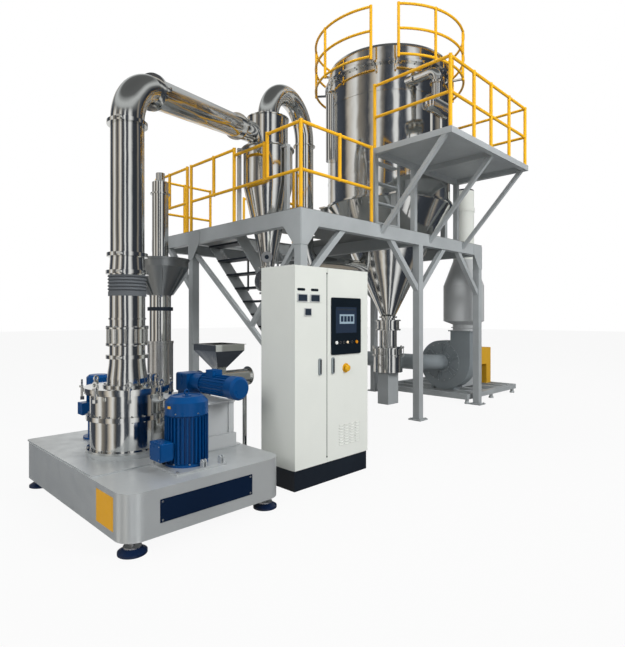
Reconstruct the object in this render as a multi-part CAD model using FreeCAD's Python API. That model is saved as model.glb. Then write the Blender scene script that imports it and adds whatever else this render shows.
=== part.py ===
import FreeCAD, Part
import math
import os

# Air classifying mill plant: mill, feeder, cabinet, platform, cyclone, bag filter and exhaust fan.
# Millimetres, +Z up. The origin is on the floor, under the middle of the plant.

V = FreeCAD.Vector
UP = V(0, 0, 1)

# Clearances
RUN = 0.1           # radial gap of a shaft in its bearing
FREE = 0.4          # gap between pieces that move past each other

# Base of the mill
BASE_X0 = -4840
BASE_X1 = -3380
BASE_Y0 = -2545
BASE_Y1 = -285
BASE_Z0 = 106
BASE_TOP = 453
BASE_CORNER = 150
BASE_WALL = 8
STEP_Y = -1960      # where the raised rear deck of the base starts
STEP_H = 10
FOOT_R = 105
FOOT_PAD_H = 55
FOOT_STUD_R = 18
FOOT_INSET = 115

# Mill body
MILL_X = -4290
MILL_Y = -1405
MILL_R = 320
CASING_WALL = 10
MOUNT_RING_R = 352
MOUNT_RING_H = 37
CHAMBER_H = 300
CLASS_H = 230
FLANGE_T = 20
FLANGE_W = 32
COVER_T = 35
COVER_R = 372
BELL_R = 178
BELL_TOP_R = 157
BELL_H = 250
SPOOL_H = 125
TIE_R = 187
TIE_H = 160
TIE_BOLT_R = 9
TIE_COUNT = 12
THROAT_H = 325
SLEEVE_R = 167
SLEEVE_H = 150
SLEEVE_RIBS = 5
TAPER_H = 170
DUCT_WALL = 4
CLAMP_W = 34
CLAMP_T = 30

# Rotating parts of the mill
ROTOR_SHAFT_R = 45
ROTOR_SHAFT_BORE = 26
BEARING_OD_R = 70
BEARING_T = 26
HOUSING_R = 92
HOUSING_DROP = 150
ROTOR_DISC_R = 240
ROTOR_DISC_T = 25
ROTOR_DISC_UP = 60
HAMMER_COUNT = 12
HAMMER_LEN = 62
HAMMER_W = 30
HAMMER_H = 70
LINER_T = 14
LINER_TEETH = 48
LINER_TOOTH = 6
SHROUD_R = 222
SHROUD_T = 5
SHROUD_H = 190
WHEEL_R = 165
WHEEL_H = 130
WHEEL_VANES = 24
VANE_T = 4
INNER_SHAFT_R = 25
ROTOR_PULLEY_R = 90
MOTOR_PULLEY_R = 120
CLASS_PULLEY_R = 70
CLASS_MOTOR_PULLEY_R = 70
PULLEY_RIM = 6
BELT_W = 15
BELT_T = 9
BELT_PITCH = 19
MAIN_BELTS = 3
CLASS_BELTS = 2
MAIN_PULLEY_Z = 235
CLASS_PULLEY_Z = 150

# Main motor of the mill
MOTOR_X = -4120
MOTOR_Y = -2155
MOTOR_R = 158
MOTOR_FIN = 22
MOTOR_FINS = 32
MOTOR_FIN_T = 5
MOTOR_FLANGE_R = 177
MOTOR_FLANGE_T = 20
MOTOR_BODY_H = 395
MOTOR_SHAFT_R = 24
COWL_R = 178
COWL_H = 150
COWL_DOME = 45
PLATE_W = 460
PLATE_T = 17
BOX_W = 190
BOX_D = 105
BOX_H = 150

# Motor of the classifier
CLASS_MOTOR_X = -4270
CLASS_MOTOR_Y = -685
CLASS_MOTOR_R = 112
CLASS_MOTOR_H = 640

# Screw feeder
FEED_X0 = -3450
FEED_X1 = -2800
FEED_Y = -1285
FEED_Z = 1020
TROUGH_R = 82
TROUGH_WALL = 4
SCREW_R = 72
SCREW_CORE_R = 20
SCREW_PITCH = 110
SCREW_FLIGHT_T = 5
CHUTE_R = 60
CHUTE_X = -3385
CHUTE_Z0 = 600
CHUTE_Z1 = 790
HOPPER_X0 = -3385
HOPPER_X1 = -3015
HOPPER_Y0 = -1500
HOPPER_Y1 = -1070
HOPPER_RIM_Z = 1400
HOPPER_MOUTH = 110
HOPPER_NECK_Z = 1130
GEARBOX_X = -3570
FEED_LEG_X = -2850
FEED_LEG_R = 24
GEARBOX_R = 105
GEAR_MOTOR_R = 104
GEAR_MOTOR_Y = -2145
STAND_X0 = -3900
STAND_X1 = -3460
STAND_Y0 = -1955
STAND_Y1 = -1060
STAND_PLINTH_H = 120
TABLE_Z = 890
TABLE_T = 14
LEG = 60

# Cabinet
CAB_X0 = -3068
CAB_X1 = -1960
CAB_Y0 = -2365
CAB_Y1 = -1855
CAB_H = 2200
PLINTH_H = 200
DOOR_T = 24
DOOR_SEAM = 4
DOOR_SEAM_X = -2618
CAB_WALL = 16
HANDLE_W = 34
HANDLE_H = 170
HANDLE_T = 16
LEFT_HANDLE_X = -2730
RIGHT_HANDLE_X = -2537
HANDLE_Z = 1190
PANEL_X0 = -2560
PANEL_X1 = -2091
PANEL_Z0 = 1299
PANEL_Z1 = 1896
PANEL_T = 12
SCREEN_X0 = -2498
SCREEN_X1 = -2159
SCREEN_Z0 = 1522
SCREEN_Z1 = 1800
ESTOP_X = -2330
ESTOP_Z = 1152
BUTTON_Z = 1426
BUTTON_R = 18
START_X = -2495
STOP_X = -2173
LAMP_X = (-2434, -2377, -2317, -2249)
LAMP_R = 14
PANEL_CORNER = 18
LOUVRE_ROWS = 8
LOUVRE_COLUMNS = 4
LOUVRE_X0 = -2436
LOUVRE_X1 = -2108
LOUVRE_Z1 = 555
LOUVRE_PITCH = 29
LOUVRE_GAP = 20
METERS = ((-3040, -2907, 1841, 1920), (-2865, -2732, 1841, 1920), (-2948, -2851, 1703, 1782))

# Lower platform
DECK_X0 = -1960
DECK_X1 = 2770
DECK_Y0 = -1285
DECK_Y1 = 2485
DECK_Z = 3080
DECK_T = 6
BEAM_H = 200
BEAM_W = 120
COL = 120
MID_X = 710
REAR_COL_Y = 1235
FOOT_PLATE = 230
FOOT_PLATE_T = 20
GUSSET_H = 260
GUSSET_W = 260
GUSSET_T = 10
KNEE = 760
KNEE_T = 80
DIAGONAL_T = 60
DIAGONAL_Z0 = 735
DIAGONAL_Z1 = 2680
BRACE_DROP = 150    # how far the short side brace starts below the beam
BRACE_FALL = 1.17   # its slope down to the long diagonal
LEG_OUT = 85
RAIL_A = 665
RAIL_B = 1420
RAIL_C = 2600
FRONT_RAIL_X1 = -520
REAR_GAP_X0 = -820
REAR_GAP_X1 = 0
STAIR_RAIL_X0 = -1230
STAIR_RAIL_X1 = -650
RAIL_R = 22
POST_R = 25
RAIL_TOP = 4155
RAIL_MID = 3580
STAIR_Y0 = 305
STAIR_Y1 = 1125
STAIR_X0 = -1750
STAIR_OPEN_X1 = 100
STAIR_SLOPE = 52
TREAD_D = 220
TREAD_COUNT = 13
TREAD_T = 30
STRINGER_D = 190
STRINGER_T = 12
BANISTER_R = 20
BANISTER_POST_R = 18
BANISTER_H = 660     # height of the sloping handrails over the stringers
BANISTER_X0 = -1050
BANISTER_X1 = 600

# Upper platform
UP_X0 = -340
UP_X1 = 2100
UP_Y0 = -2475
UP_Y1 = -1205
UP_Z = 4230
UP_BEAM = 80
UP_RAIL_H = 950
LADDER_X0 = -250
LADDER_X1 = 450
LADDER_Y = UP_Y1 + 125
RUNG_PITCH = 315
LADDER_RUNGS = 4
UP_MID_X = 990
UP_BRACE_T = 60

# Cyclone
CYC_X = -1500
CYC_Y = -85
CYC_R = 370
CYC_CONE_R = 90
CYC_CONE_Z = 2430
CYC_BARREL_Z = 3650
CYC_TOP_Z = 4200
HEAD_R = 300
HEAD_TOP_Z = 4660
OUT_R = 155
BEND_R = 290
DOWN_X = -450
DOWN_Y = 215
DOWN_BEND_Z = 2900
OUT_BEND_Z = 4660
PORT_ANGLE = 225
PORT_Z = 2575
INLET_LEN = 700
SPOUT_Z = 1150
SPOUT_R = 64
SPOUT_SEAT = 40
WALL = 4

# Transfer duct
DUCT_R = 150
RISER_TOP_Z = 3490
DUCT_BEND_R = 450
DUCT_TURN = 79
DUCT_END_X = -2200
DUCT_END_Y = -265

# Bag filter
FIL_X = 1650
FIL_Y = 15
FIL_R = 1175
FIL_Z0 = 3800
FIL_Z1 = 6150
FIL_TOP = 6510
FIL_CONE_R = 130
FIL_CONE_Z = 1690
SHEET_Z = 5650
SEAM_Z = 4280
SPOOL_BORE = 120
SPOOL_R = 170
SPOOL_UP_R = 215
SPOOL_LOW_R = 270
SPOOL_RIM = 30
SPOOL_RIM_T = 20
SPOOL_UP_Z0 = 1437
SPOOL_UP_Z1 = 1634
SPOOL_LOW_Z1 = 1100
SPOOL_CLAMPS = 8
RECEIVER_W = 334
RECEIVER_D = 250
RECEIVER_WALL = 6
SIDE_DUCT_R = 120
SIDE_DUCT_ANGLE = 154
SIDE_DUCT_Z0 = 4630
SIDE_DUCT_Z1 = 5850
PULSE_X = 980
PULSE_Y = -1475
PULSE_Z = 5180
PULSE_R = 130
PULSE_TOP = 5640
PIPE_R = 85
RING_R = 1420
RING_Z = 6120
RING_RAIL_Z = 6990
RING_POSTS = (223.5, 251, 291, 330, 370, 410, 450, 488, 523, 564.7)
BAG_R = 62
BAG_T = 3
BAG_LEN = 1500
BAG_PITCH = 300

# Exhaust fan
FAN_X = 3100
FAN_Y = -405
FAN_Z = 760
SCROLL_R = 550
SCROLL_W = 300
SCROLL_STEPS = (440, 500, 565, 630)
SCROLL_UP = 650
OUTLET_HALF_IN = 200
IMPELLER_R = 360
OUTLET_R = 215
SILENCER_R = 400
SILENCER_Z0 = 1560
SILENCER_Z1 = 2330
SILENCER_TAPER = 530
STACK_R = 205
STACK_TOP = 4250
SKID_X0 = 2600
SKID_X1 = 4840
SKID_Y0 = -1165
SKID_Y1 = 1015
SKID_TOP = 190
SKID_BEAM = 100
FAN_SHAFT_R = 40
FAN_TABLE_X0 = 3500
FAN_TABLE_X1 = 4180
FAN_TABLE_D = 340
FAN_TABLE_WALL = 15
BEARING_X = (3620, 4020)
FAN_MOTOR_X0 = 3850
FAN_MOTOR_X1 = 4440
CROSS_X = (3050, 3480, 4080, 4460)
MOTOR_SHAFT_Y = 400
FAN_MOTOR_R = 180
FAN_MOTOR_Z = 600
FAN_PULLEY_X = 4600
FAN_PULLEY_R = 150
FAN_MOTOR_PULLEY_R = 90
CLEAN_R = 160
CLEAN_X = 2530
CLEAN_Y = 1800
CLEAN_BEND = 300
CLEAN_Z = 5880
CLEAN_FLANGES = (1400, 2700, 4300)
CLEAN_WAY = 800     # length of the duct's hole through the filter's wall

# Rotary valves
VALVE_BORE = 120
VALVE_HALF = 115
VALVE_SHAFT_R = 15
VALVE_VANES = 8
CYC_VALVE_Z = 2230
FIL_VALVE_Z = 784
FIL_VALVE_TURN = 45     # the filter's valve lies across the view, its gearmotor at the back
VALVE_CASE_R = 280
VALVE_CASE_T = 6
VALVE_CASE_Z0 = 622
VALVE_CASE_Z1 = 946

# Vent vessel
VENT_X = -2910
VENT_Y = 565
DRUM_R = 180
DRUM_TOP = 1360

NODES = {}


def box(x0, x1, y0, y1, z0, z1):
    return Part.makeBox(x1 - x0, y1 - y0, z1 - z0, V(x0, y0, z0))


def cyl(r, x, y, z0, z1):
    return Part.makeCylinder(r, z1 - z0, V(x, y, z0), UP)


def ring(r_out, r_in, x, y, z0, z1):
    return cyl(r_out, x, y, z0, z1).cut(cyl(r_in, x, y, z0 - 1, z1 + 1))


def rod(p, q, r):
    """Round bar from point p to point q."""
    return Part.makeCylinder(r, (q - p).Length, p, q - p)


def turned(points, x, y):
    """Solid of revolution about the vertical axis at (x, y) from (radius, height) points."""
    pts = [V(x + r, y, z) for r, z in points]
    face = Part.Face(Part.makePolygon(pts + [pts[0]]))
    return face.revolve(V(x, y, 0), UP, 360)


def shell_of(points, wall, x, y):
    """Thin turned shell whose outer line is (radius, height) points, open at both ends."""
    inner = [(r - wall, z) for r, z in reversed(points)]
    return turned(points + inner, x, y)


def disc(r, p, axis):
    return Part.Face(Part.Wire(Part.makeCircle(r, p, axis)))


def bend(r, start, along, centre, degrees):
    """Solid round bend: a disc at start, swept about the axis through centre."""
    pivot = (start - centre).cross(along)
    return disc(r, start, along).revolve(centre, pivot, degrees)


def hollow_bend(r, wall, start, along, centre, degrees):
    return bend(r, start, along, centre, degrees).cut(bend(r - wall, start, along, centre, degrees))


def bar(p, q, w, h, up=UP):
    """Rectangular bar from p to q, w wide across and h deep along up."""
    along = q - p
    side = along.cross(up)
    side.normalize()
    lift = side.cross(along)
    lift.normalize()
    s = side * (w / 2)
    t = lift * (h / 2)
    corners = [p - s - t, p + s - t, p + s + t, p - s + t, p - s - t]
    return Part.Face(Part.makePolygon(corners)).extrude(along)


def prism(points, direction):
    """Flat outline of 3-D points, extruded along direction."""
    return Part.Face(Part.makePolygon(points + [points[0]])).extrude(direction)


def spun(shape, x, y, degrees):
    copy = shape.copy()
    copy.rotate(V(x, y, 0), UP, degrees)
    return copy


def around(shape, x, y, count, start=0):
    return [spun(shape, x, y, start + i * 360.0 / count) for i in range(count)]


def add(name, *shapes):
    """Put separate solids in a node."""
    NODES.setdefault(name, []).extend(shapes)


def fuse(shapes):
    whole = shapes[0].multiFuse(shapes[1:]) if len(shapes) > 1 else shapes[0]
    return whole.removeSplitter()


def loop_outline(ax, ay, ra, bx, by, rb, z):
    """Outline of a belt round two pulleys, as a face at height z."""
    d = math.hypot(bx - ax, by - ay)
    head = math.atan2(by - ay, bx - ax)
    lean = math.acos((ra - rb) / d)

    def at(cx, cy, r, angle):
        return V(cx + r * math.cos(angle), cy + r * math.sin(angle), z)

    a1 = at(ax, ay, ra, head + lean)
    a2 = at(ax, ay, ra, head + math.pi)
    a3 = at(ax, ay, ra, head - lean)
    b1 = at(bx, by, rb, head - lean)
    b2 = at(bx, by, rb, head)
    b3 = at(bx, by, rb, head + lean)
    edges = [Part.Arc(a1, a2, a3).toShape(), Part.makeLine(a3, b1),
             Part.Arc(b1, b2, b3).toShape(), Part.makeLine(b3, a1)]
    return Part.Face(Part.Wire(edges))


def belt(ax, ay, ra, bx, by, rb, z0, width, thick):
    outer = loop_outline(ax, ay, ra + thick, bx, by, rb + thick, z0)
    inner = loop_outline(ax, ay, ra, bx, by, rb, z0)
    return outer.cut(inner).extrude(V(0, 0, width))


def rounded_box(x0, x1, y0, y1, z0, z1, r):
    block = box(x0, x1, y0, y1, z0, z1)
    upright = [e for e in block.Edges if abs(e.tangentAt(e.FirstParameter).z) > 0.9]
    return block.makeFillet(r, upright)


def make_base():
    """Sheet housing, open below, with the motor plate and its lifting lugs welded on top."""
    w = BASE_WALL
    hull = rounded_box(BASE_X0, BASE_X1, BASE_Y0, BASE_Y1, BASE_Z0, BASE_TOP, BASE_CORNER)
    room = rounded_box(BASE_X0 + w, BASE_X1 - w, BASE_Y0 + w, BASE_Y1 - w,
                       BASE_Z0 - 1, BASE_TOP - w, BASE_CORNER - w)
    rear = rounded_box(BASE_X0 + 12, BASE_X1 - 12, STEP_Y, BASE_Y1 - 12,
                       BASE_TOP, BASE_TOP + STEP_H, 40)
    lug_y = MOTOR_Y - MOTOR_FLANGE_R - 35
    plate = box(MOTOR_X - PLATE_W / 2, MOTOR_X + PLATE_W / 2, lug_y - 30, STEP_Y, BASE_TOP, BASE_TOP + PLATE_T)
    pieces = [hull.cut(room), rear, plate]
    for lug_x in (MOTOR_X + 30, MOTOR_X + PLATE_W / 2 - 30):
        for side in (-14, 14):
            pieces.append(lug(lug_x + side, lug_y))
    for x in (BASE_X0 + FOOT_INSET, BASE_X1 - FOOT_INSET):
        for y in (BASE_Y0 + FOOT_INSET, BASE_Y1 - FOOT_INSET):
            pieces.append(cyl(FOOT_STUD_R + 22, x, y, BASE_Z0, BASE_TOP - w))
    base = fuse(pieces)
    holes = [cyl(HOUSING_R, MILL_X, MILL_Y, BASE_Z0, BASE_TOP + 2 * PLATE_T),
             cyl(MOTOR_SHAFT_R + 20, MOTOR_X, MOTOR_Y, BASE_Z0, BASE_TOP + 2 * PLATE_T),
             cyl(MOTOR_SHAFT_R + 20, CLASS_MOTOR_X, CLASS_MOTOR_Y, BASE_Z0, BASE_TOP + 2 * PLATE_T)]
    add("mill_base", base.cut(Part.makeCompound(holes)))


def lug(x, y):
    """Round-topped ear with a pin hole."""
    z = BASE_TOP + PLATE_T
    ear = box(x - 5, x + 5, y - 22, y + 22, z - 2, z + 40)
    top = rod(V(x - 5, y, z + 40), V(x + 5, y, z + 40), 22)
    hole = rod(V(x - 9, y, z + 40), V(x + 9, y, z + 40), 9)
    return ear.fuse(top).cut(hole)


def make_feet():
    """Levelling feet: a domed pad and its stud, up to the boss inside the base."""
    pad = [(0, 0), (FOOT_R, 0), (FOOT_R, 18), (FOOT_R * 0.62, FOOT_PAD_H - 12),
           (FOOT_R * 0.62, FOOT_PAD_H), (FOOT_STUD_R, FOOT_PAD_H),
           (FOOT_STUD_R, BASE_Z0), (0, BASE_Z0)]
    for x in (BASE_X0 + FOOT_INSET, BASE_X1 - FOOT_INSET):
        for y in (BASE_Y0 + FOOT_INSET, BASE_Y1 - FOOT_INSET):
            add("base_feet", turned(pad, x, y))


# Heights of the mill's stack, from the base's rear deck upward
RING_BASE = BASE_TOP + STEP_H
CHAMBER_Z0 = RING_BASE + MOUNT_RING_H
CHAMBER_Z1 = CHAMBER_Z0 + CHAMBER_H
CLASS_Z1 = CHAMBER_Z1 + CLASS_H
COVER_Z1 = CLASS_Z1 + COVER_T
BELL_Z1 = COVER_Z1 + BELL_H
SPOOL_Z1 = BELL_Z1 + SPOOL_H
TIE_Z1 = SPOOL_Z1 + TIE_H
THROAT_Z1 = TIE_Z1 + THROAT_H
SLEEVE_Z1 = THROAT_Z1 + SLEEVE_H
TAPER_Z1 = SLEEVE_Z1 + TAPER_H
DISC_Z0 = CHAMBER_Z0 + ROTOR_DISC_UP
DISC_Z1 = DISC_Z0 + ROTOR_DISC_T
WHEEL_Z0 = CHAMBER_Z1 + 25
WHEEL_Z1 = WHEEL_Z0 + WHEEL_H
SHROUD_Z0 = CHAMBER_Z1 - 75
SHAFT_Z0 = MAIN_PULLEY_Z - 15
CHUTE_TOP = V(CHUTE_X, FEED_Y, CHUTE_Z1)
CHUTE_END = V(MILL_X, MILL_Y, CHUTE_Z0)


def make_casings():
    """Mounting ring, grinding chamber and classifying chamber, each with its flanges."""
    x, y, r = MILL_X, MILL_Y, MILL_R
    big = r + FLANGE_W
    seat = ring(MOUNT_RING_R, HOUSING_R + 34, x, y, RING_BASE, CHAMBER_Z0)
    floor = ring(big, ROTOR_SHAFT_R + 20, x, y, CHAMBER_Z0, CHAMBER_Z0 + FLANGE_T)
    wall = ring(r, r - CASING_WALL, x, y, CHAMBER_Z0 + FLANGE_T, CHAMBER_Z1)
    rim = ring(big, r, x, y, CHAMBER_Z1 - FLANGE_T, CHAMBER_Z1)
    chute_hole = rod(CHUTE_TOP, CHUTE_END, CHUTE_R)
    chamber = fuse([floor, wall, rim]).cut(chute_hole)
    add("grinding_chamber", seat, chamber)
    upper_wall = ring(r, r - CASING_WALL, x, y, CHAMBER_Z1, CLASS_Z1)
    foot = ring(big, r, x, y, CHAMBER_Z1, CHAMBER_Z1 + FLANGE_T)
    head = ring(big + 12, r, x, y, CLASS_Z1 - FLANGE_T, CLASS_Z1)
    add("classifying_chamber", fuse([upper_wall, foot, head]))


def make_liner():
    """Toothed liner ring against the chamber wall, round the hammers."""
    outer = MILL_R - CASING_WALL - FREE
    inner = outer - LINER_T
    z0 = DISC_Z0 - 15
    z1 = DISC_Z1 + HAMMER_H + 15
    tooth = box(MILL_X + inner - LINER_TOOTH, MILL_X + inner + 2, MILL_Y - 4, MILL_Y + 4, z0, z1)
    body = ring(outer, inner, MILL_X, MILL_Y, z0, z1)
    liner = body.multiFuse(around(tooth, MILL_X, MILL_Y, LINER_TEETH))
    step = ring(outer, inner, MILL_X, MILL_Y, CHAMBER_Z0 + FLANGE_T, z0)
    chute_hole = rod(CHUTE_TOP, CHUTE_END, CHUTE_R)
    add("toothed_liner", liner.fuse(step).cut(chute_hole))


def make_shroud():
    """Shroud ring that guides the flow up to the wheel, hung from the classifying chamber by vanes."""
    body = ring(SHROUD_R, SHROUD_R - SHROUD_T, MILL_X, MILL_Y, SHROUD_Z0, SHROUD_Z0 + SHROUD_H)
    reach = MILL_R - CASING_WALL - FREE
    vane = box(MILL_X + SHROUD_R - 2, MILL_X + reach, MILL_Y - 3, MILL_Y + 3,
               SHROUD_Z0 + 90, SHROUD_Z0 + SHROUD_H)
    add("shroud_ring", body.multiFuse(around(vane, MILL_X, MILL_Y, 8, 10)))


def make_bearing_housing():
    """Flanged sleeve through the base with two bearings that carry the hollow shaft."""
    z0 = RING_BASE - HOUSING_DROP
    top = CHAMBER_Z0 - FREE
    sleeve = ring(HOUSING_R - FREE, BEARING_OD_R, MILL_X, MILL_Y, z0, top)
    flange = ring(HOUSING_R + 30, HOUSING_R - FREE, MILL_X, MILL_Y, RING_BASE, RING_BASE + 20)
    add("bearing_housing", sleeve.fuse(flange))
    for z in (z0, top - BEARING_T):
        add("bearing_housing", ring(BEARING_OD_R, ROTOR_SHAFT_R + RUN, MILL_X, MILL_Y, z, z + BEARING_T))


def grooved_pulley(r, bore, x, y, z0, belts):
    """Pulley with one groove for each belt."""
    width = belts * BELT_PITCH + PULLEY_RIM
    body = ring(r + BELT_T, bore, x, y, z0, z0 + width)
    for i in range(belts):
        z = z0 + PULLEY_RIM + i * BELT_PITCH - 1
        body = body.cut(ring(r + BELT_T + 2, r, x, y, z, z + BELT_W))
    return body


def make_rotor():
    """Hollow shaft with its pulley, and the disc that carries the hammers."""
    x, y = MILL_X, MILL_Y
    shaft = ring(ROTOR_SHAFT_R, ROTOR_SHAFT_BORE, x, y, SHAFT_Z0, DISC_Z0)
    nose = ring(ROTOR_SHAFT_R - 8, ROTOR_SHAFT_BORE, x, y, DISC_Z0, DISC_Z1 + 20)
    add("rotor_shaft", shaft.fuse(nose))
    add("rotor_shaft", grooved_pulley(ROTOR_PULLEY_R, ROTOR_SHAFT_R, x, y, MAIN_PULLEY_Z, MAIN_BELTS))
    disc_body = ring(ROTOR_DISC_R, ROTOR_SHAFT_R - 8, x, y, DISC_Z0, DISC_Z1)
    hammer = box(x + ROTOR_DISC_R - HAMMER_LEN / 2, x + ROTOR_DISC_R + HAMMER_LEN / 2 - 5,
                 y - HAMMER_W / 2, y + HAMMER_W / 2, DISC_Z1, DISC_Z1 + HAMMER_H)
    add("grinding_rotor", disc_body.multiFuse(around(hammer, x, y, HAMMER_COUNT)))


def make_classifier():
    """Inner shaft through the hollow one, its pulley below and the vaned wheel on top."""
    x, y = MILL_X, MILL_Y
    top = WHEEL_Z1 + 12
    shaft = cyl(INNER_SHAFT_R, x, y, CLASS_PULLEY_Z - 20, top)
    wheel = ring(WHEEL_R, INNER_SHAFT_R, x, y, WHEEL_Z0, WHEEL_Z0 + 8)
    crown = ring(WHEEL_R, WHEEL_R - 30, x, y, WHEEL_Z1 - 8, WHEEL_Z1)
    hub = ring(INNER_SHAFT_R + 25, INNER_SHAFT_R, x, y, WHEEL_Z0, top)
    vane = box(x + WHEEL_R - 34, x + WHEEL_R - 2, y - VANE_T / 2, y + VANE_T / 2,
               WHEEL_Z0 + 7, WHEEL_Z1 - 7)
    add("classifier_wheel", shaft)
    add("classifier_wheel", fuse([wheel, crown, hub] + around(vane, x, y, WHEEL_VANES)))
    add("classifier_wheel", grooved_pulley(CLASS_PULLEY_R, INNER_SHAFT_R, x, y, CLASS_PULLEY_Z, CLASS_BELTS))


def clamp_collar(r, p, axis):
    """Two-part clamp collar with a bolted wing on each side, round a duct of radius r."""
    a = V(axis)
    a.normalize()
    low = p - a * (CLAMP_W / 2)
    band = Part.makeCylinder(r + CLAMP_T, CLAMP_W, low, a)
    side = a.cross(UP) if abs(a.z) < 0.9 else V(1, 1, 0)
    side.normalize()
    reach = side * (r + CLAMP_T + 45)
    wing = bar(p - reach, p + reach, CLAMP_W, 18, a)
    inner = Part.makeCylinder(r, CLAMP_W * 3, p - a * (CLAMP_W * 1.5), a)
    return band.fuse(wing).cut(inner)


def make_cover():
    """Cover plate with its raised neck ring and the inlet boss on the feeder's side."""
    x, y = MILL_X, MILL_Y
    plate = ring(COVER_R, BELL_R - 14, x, y, CLASS_Z1, COVER_Z1)
    boss = cyl(46, x + 262, y + 90, COVER_Z1, COVER_Z1 + 60)
    cap = cyl(58, x + 262, y + 90, COVER_Z1 + 60, COVER_Z1 + 76)
    add("mill_cover", fuse([plate, boss, cap]))


def make_cover_clamps():
    """Swing bolts with eye nuts round the cover, and three tall eye handles."""
    low = CLASS_Z1 - FLANGE_T
    for i in range(8):
        turn = 22.5 + i * 45
        bolt = cyl(11, MILL_X + COVER_R + 11, MILL_Y, low - 55, COVER_Z1 + 18)
        nut = cyl(22, MILL_X + COVER_R + 11, MILL_Y, COVER_Z1, COVER_Z1 + 18)
        foot = box(MILL_X + COVER_R - 8, MILL_X + COVER_R + 24, MILL_Y - 16, MILL_Y + 16, low - 55, low - 25)
        nut = nut.cut(cyl(COVER_R, MILL_X, MILL_Y, COVER_Z1 - 1, COVER_Z1 + 40))
        clamp = fuse([bolt, nut, foot])
        eye = ring_standing(MILL_X + COVER_R + 11, MILL_Y, COVER_Z1 + 18 + 26, 28, 7)
        add("cover_clamps", spun(clamp.fuse(eye), MILL_X, MILL_Y, turn))


def ring_standing(x, y, z, r, thick):
    """Eye of a nut: a flat ring standing on edge, facing out."""
    eye = rod(V(x - thick, y, z), V(x + thick, y, z), r)
    return eye.cut(rod(V(x - thick - 1, y, z), V(x + thick + 1, y, z), r - 11))


def make_outlet():
    """Bell, spool and tie-bolt section above the cover, up to the rubber sleeve."""
    x, y = MILL_X, MILL_Y
    neck = BELL_TOP_R
    flange = 16
    bell = turned([(BELL_R - WALL, COVER_Z1), (BELL_R + 34, COVER_Z1), (BELL_R + 34, COVER_Z1 + flange),
                   (BELL_R, COVER_Z1 + flange), (BELL_R, COVER_Z1 + 70), (neck + 4, BELL_Z1 - 60),
                   (neck, BELL_Z1), (neck - WALL, BELL_Z1), (neck + 4 - WALL, BELL_Z1 - 60),
                   (BELL_R - WALL, COVER_Z1 + 70)], x, y)
    spool = ring(neck, neck - WALL, x, y, BELL_Z1, SPOOL_Z1)
    low = ring(TIE_R, neck - WALL, x, y, SPOOL_Z1, SPOOL_Z1 + flange)
    high = ring(TIE_R, neck - WALL, x, y, TIE_Z1 - flange, TIE_Z1)
    drum = ring(neck + 6, neck - WALL, x, y, SPOOL_Z1 + flange, TIE_Z1 - flange)
    throat = ring(neck, neck - WALL, x, y, TIE_Z1, THROAT_Z1)
    bead = ring(neck + 8, neck, x, y, TIE_Z1 + 70, TIE_Z1 + 84)
    tie = cyl(TIE_BOLT_R, x + TIE_R - 13, y, SPOOL_Z1 + flange, TIE_Z1 - flange)
    add("outlet_bell", bell, fuse([spool, low, drum, high, throat, bead]))
    add("outlet_bell", *around(tie, x, y, TIE_COUNT))
    add("outlet_bell", clamp_collar(neck, V(x, y, BELL_Z1 + CLAMP_W / 2), UP))


def make_sleeve():
    """Ribbed rubber sleeve between the throat and the riser."""
    r = SLEEVE_R
    line = [(BELL_TOP_R, THROAT_Z1 - 40), (r, THROAT_Z1 - 40), (r, THROAT_Z1)]
    step = SLEEVE_H / SLEEVE_RIBS
    for i in range(SLEEVE_RIBS):
        z = THROAT_Z1 + i * step
        line += [(r - 9, z + step * 0.25), (r + 5, z + step * 0.6), (r, z + step)]
    line += [(BELL_TOP_R, SLEEVE_Z1), (BELL_TOP_R, THROAT_Z1 - 40)]
    add("flexible_sleeve", turned(line[:-1], MILL_X, MILL_Y))


def duct_points():
    """Start, bend centre and heading of the duct from the riser to the cyclone."""
    flat = V(DUCT_END_X - MILL_X, DUCT_END_Y - MILL_Y, 0)
    run = flat.Length
    flat.normalize()
    turn = math.radians(DUCT_TURN)
    start = V(MILL_X, MILL_Y, RISER_TOP_Z)
    centre = start + flat * DUCT_BEND_R
    heading = flat * math.sin(turn) + UP * math.cos(turn)
    leave = centre - flat * (DUCT_BEND_R * math.cos(turn)) + UP * (DUCT_BEND_R * math.sin(turn))
    length = (run - DUCT_BEND_R * (1 - math.cos(turn))) / math.sin(turn)
    return start, centre, leave, heading, leave + heading * length


def hollow_rod(p, q, r, wall):
    return rod(p, q, r).cut(rod(p, q, r - wall))


def make_transfer_duct():
    """Tapered section, riser, elbow and sloping duct with its clamp collars."""
    x, y = MILL_X, MILL_Y
    r = DUCT_R
    taper = turned([(BELL_TOP_R, SLEEVE_Z1), (BELL_TOP_R, SLEEVE_Z1 + 60), (r, TAPER_Z1), (r - WALL, TAPER_Z1),
                    (BELL_TOP_R - WALL, SLEEVE_Z1 + 60), (BELL_TOP_R - WALL, SLEEVE_Z1)], x, y)
    riser = ring(r, r - WALL, x, y, TAPER_Z1, RISER_TOP_Z)
    start, centre, leave, heading, end = duct_points()
    elbow = hollow_bend(r, WALL, start, UP, centre, DUCT_TURN)
    slope = hollow_rod(leave, end, r, WALL)
    add("transfer_duct", taper, riser, elbow, slope)
    add("transfer_duct", clamp_collar(BELL_TOP_R, V(x, y, SLEEVE_Z1 + 26), UP))
    half = CLAMP_W / 2
    for p, axis in ((V(x, y, TAPER_Z1 + half), UP), (start - UP * half, UP), (leave + heading * half, heading),
                    (end - heading * CLAMP_W, heading)):
        add("transfer_duct", clamp_collar(r, p, axis))


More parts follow.
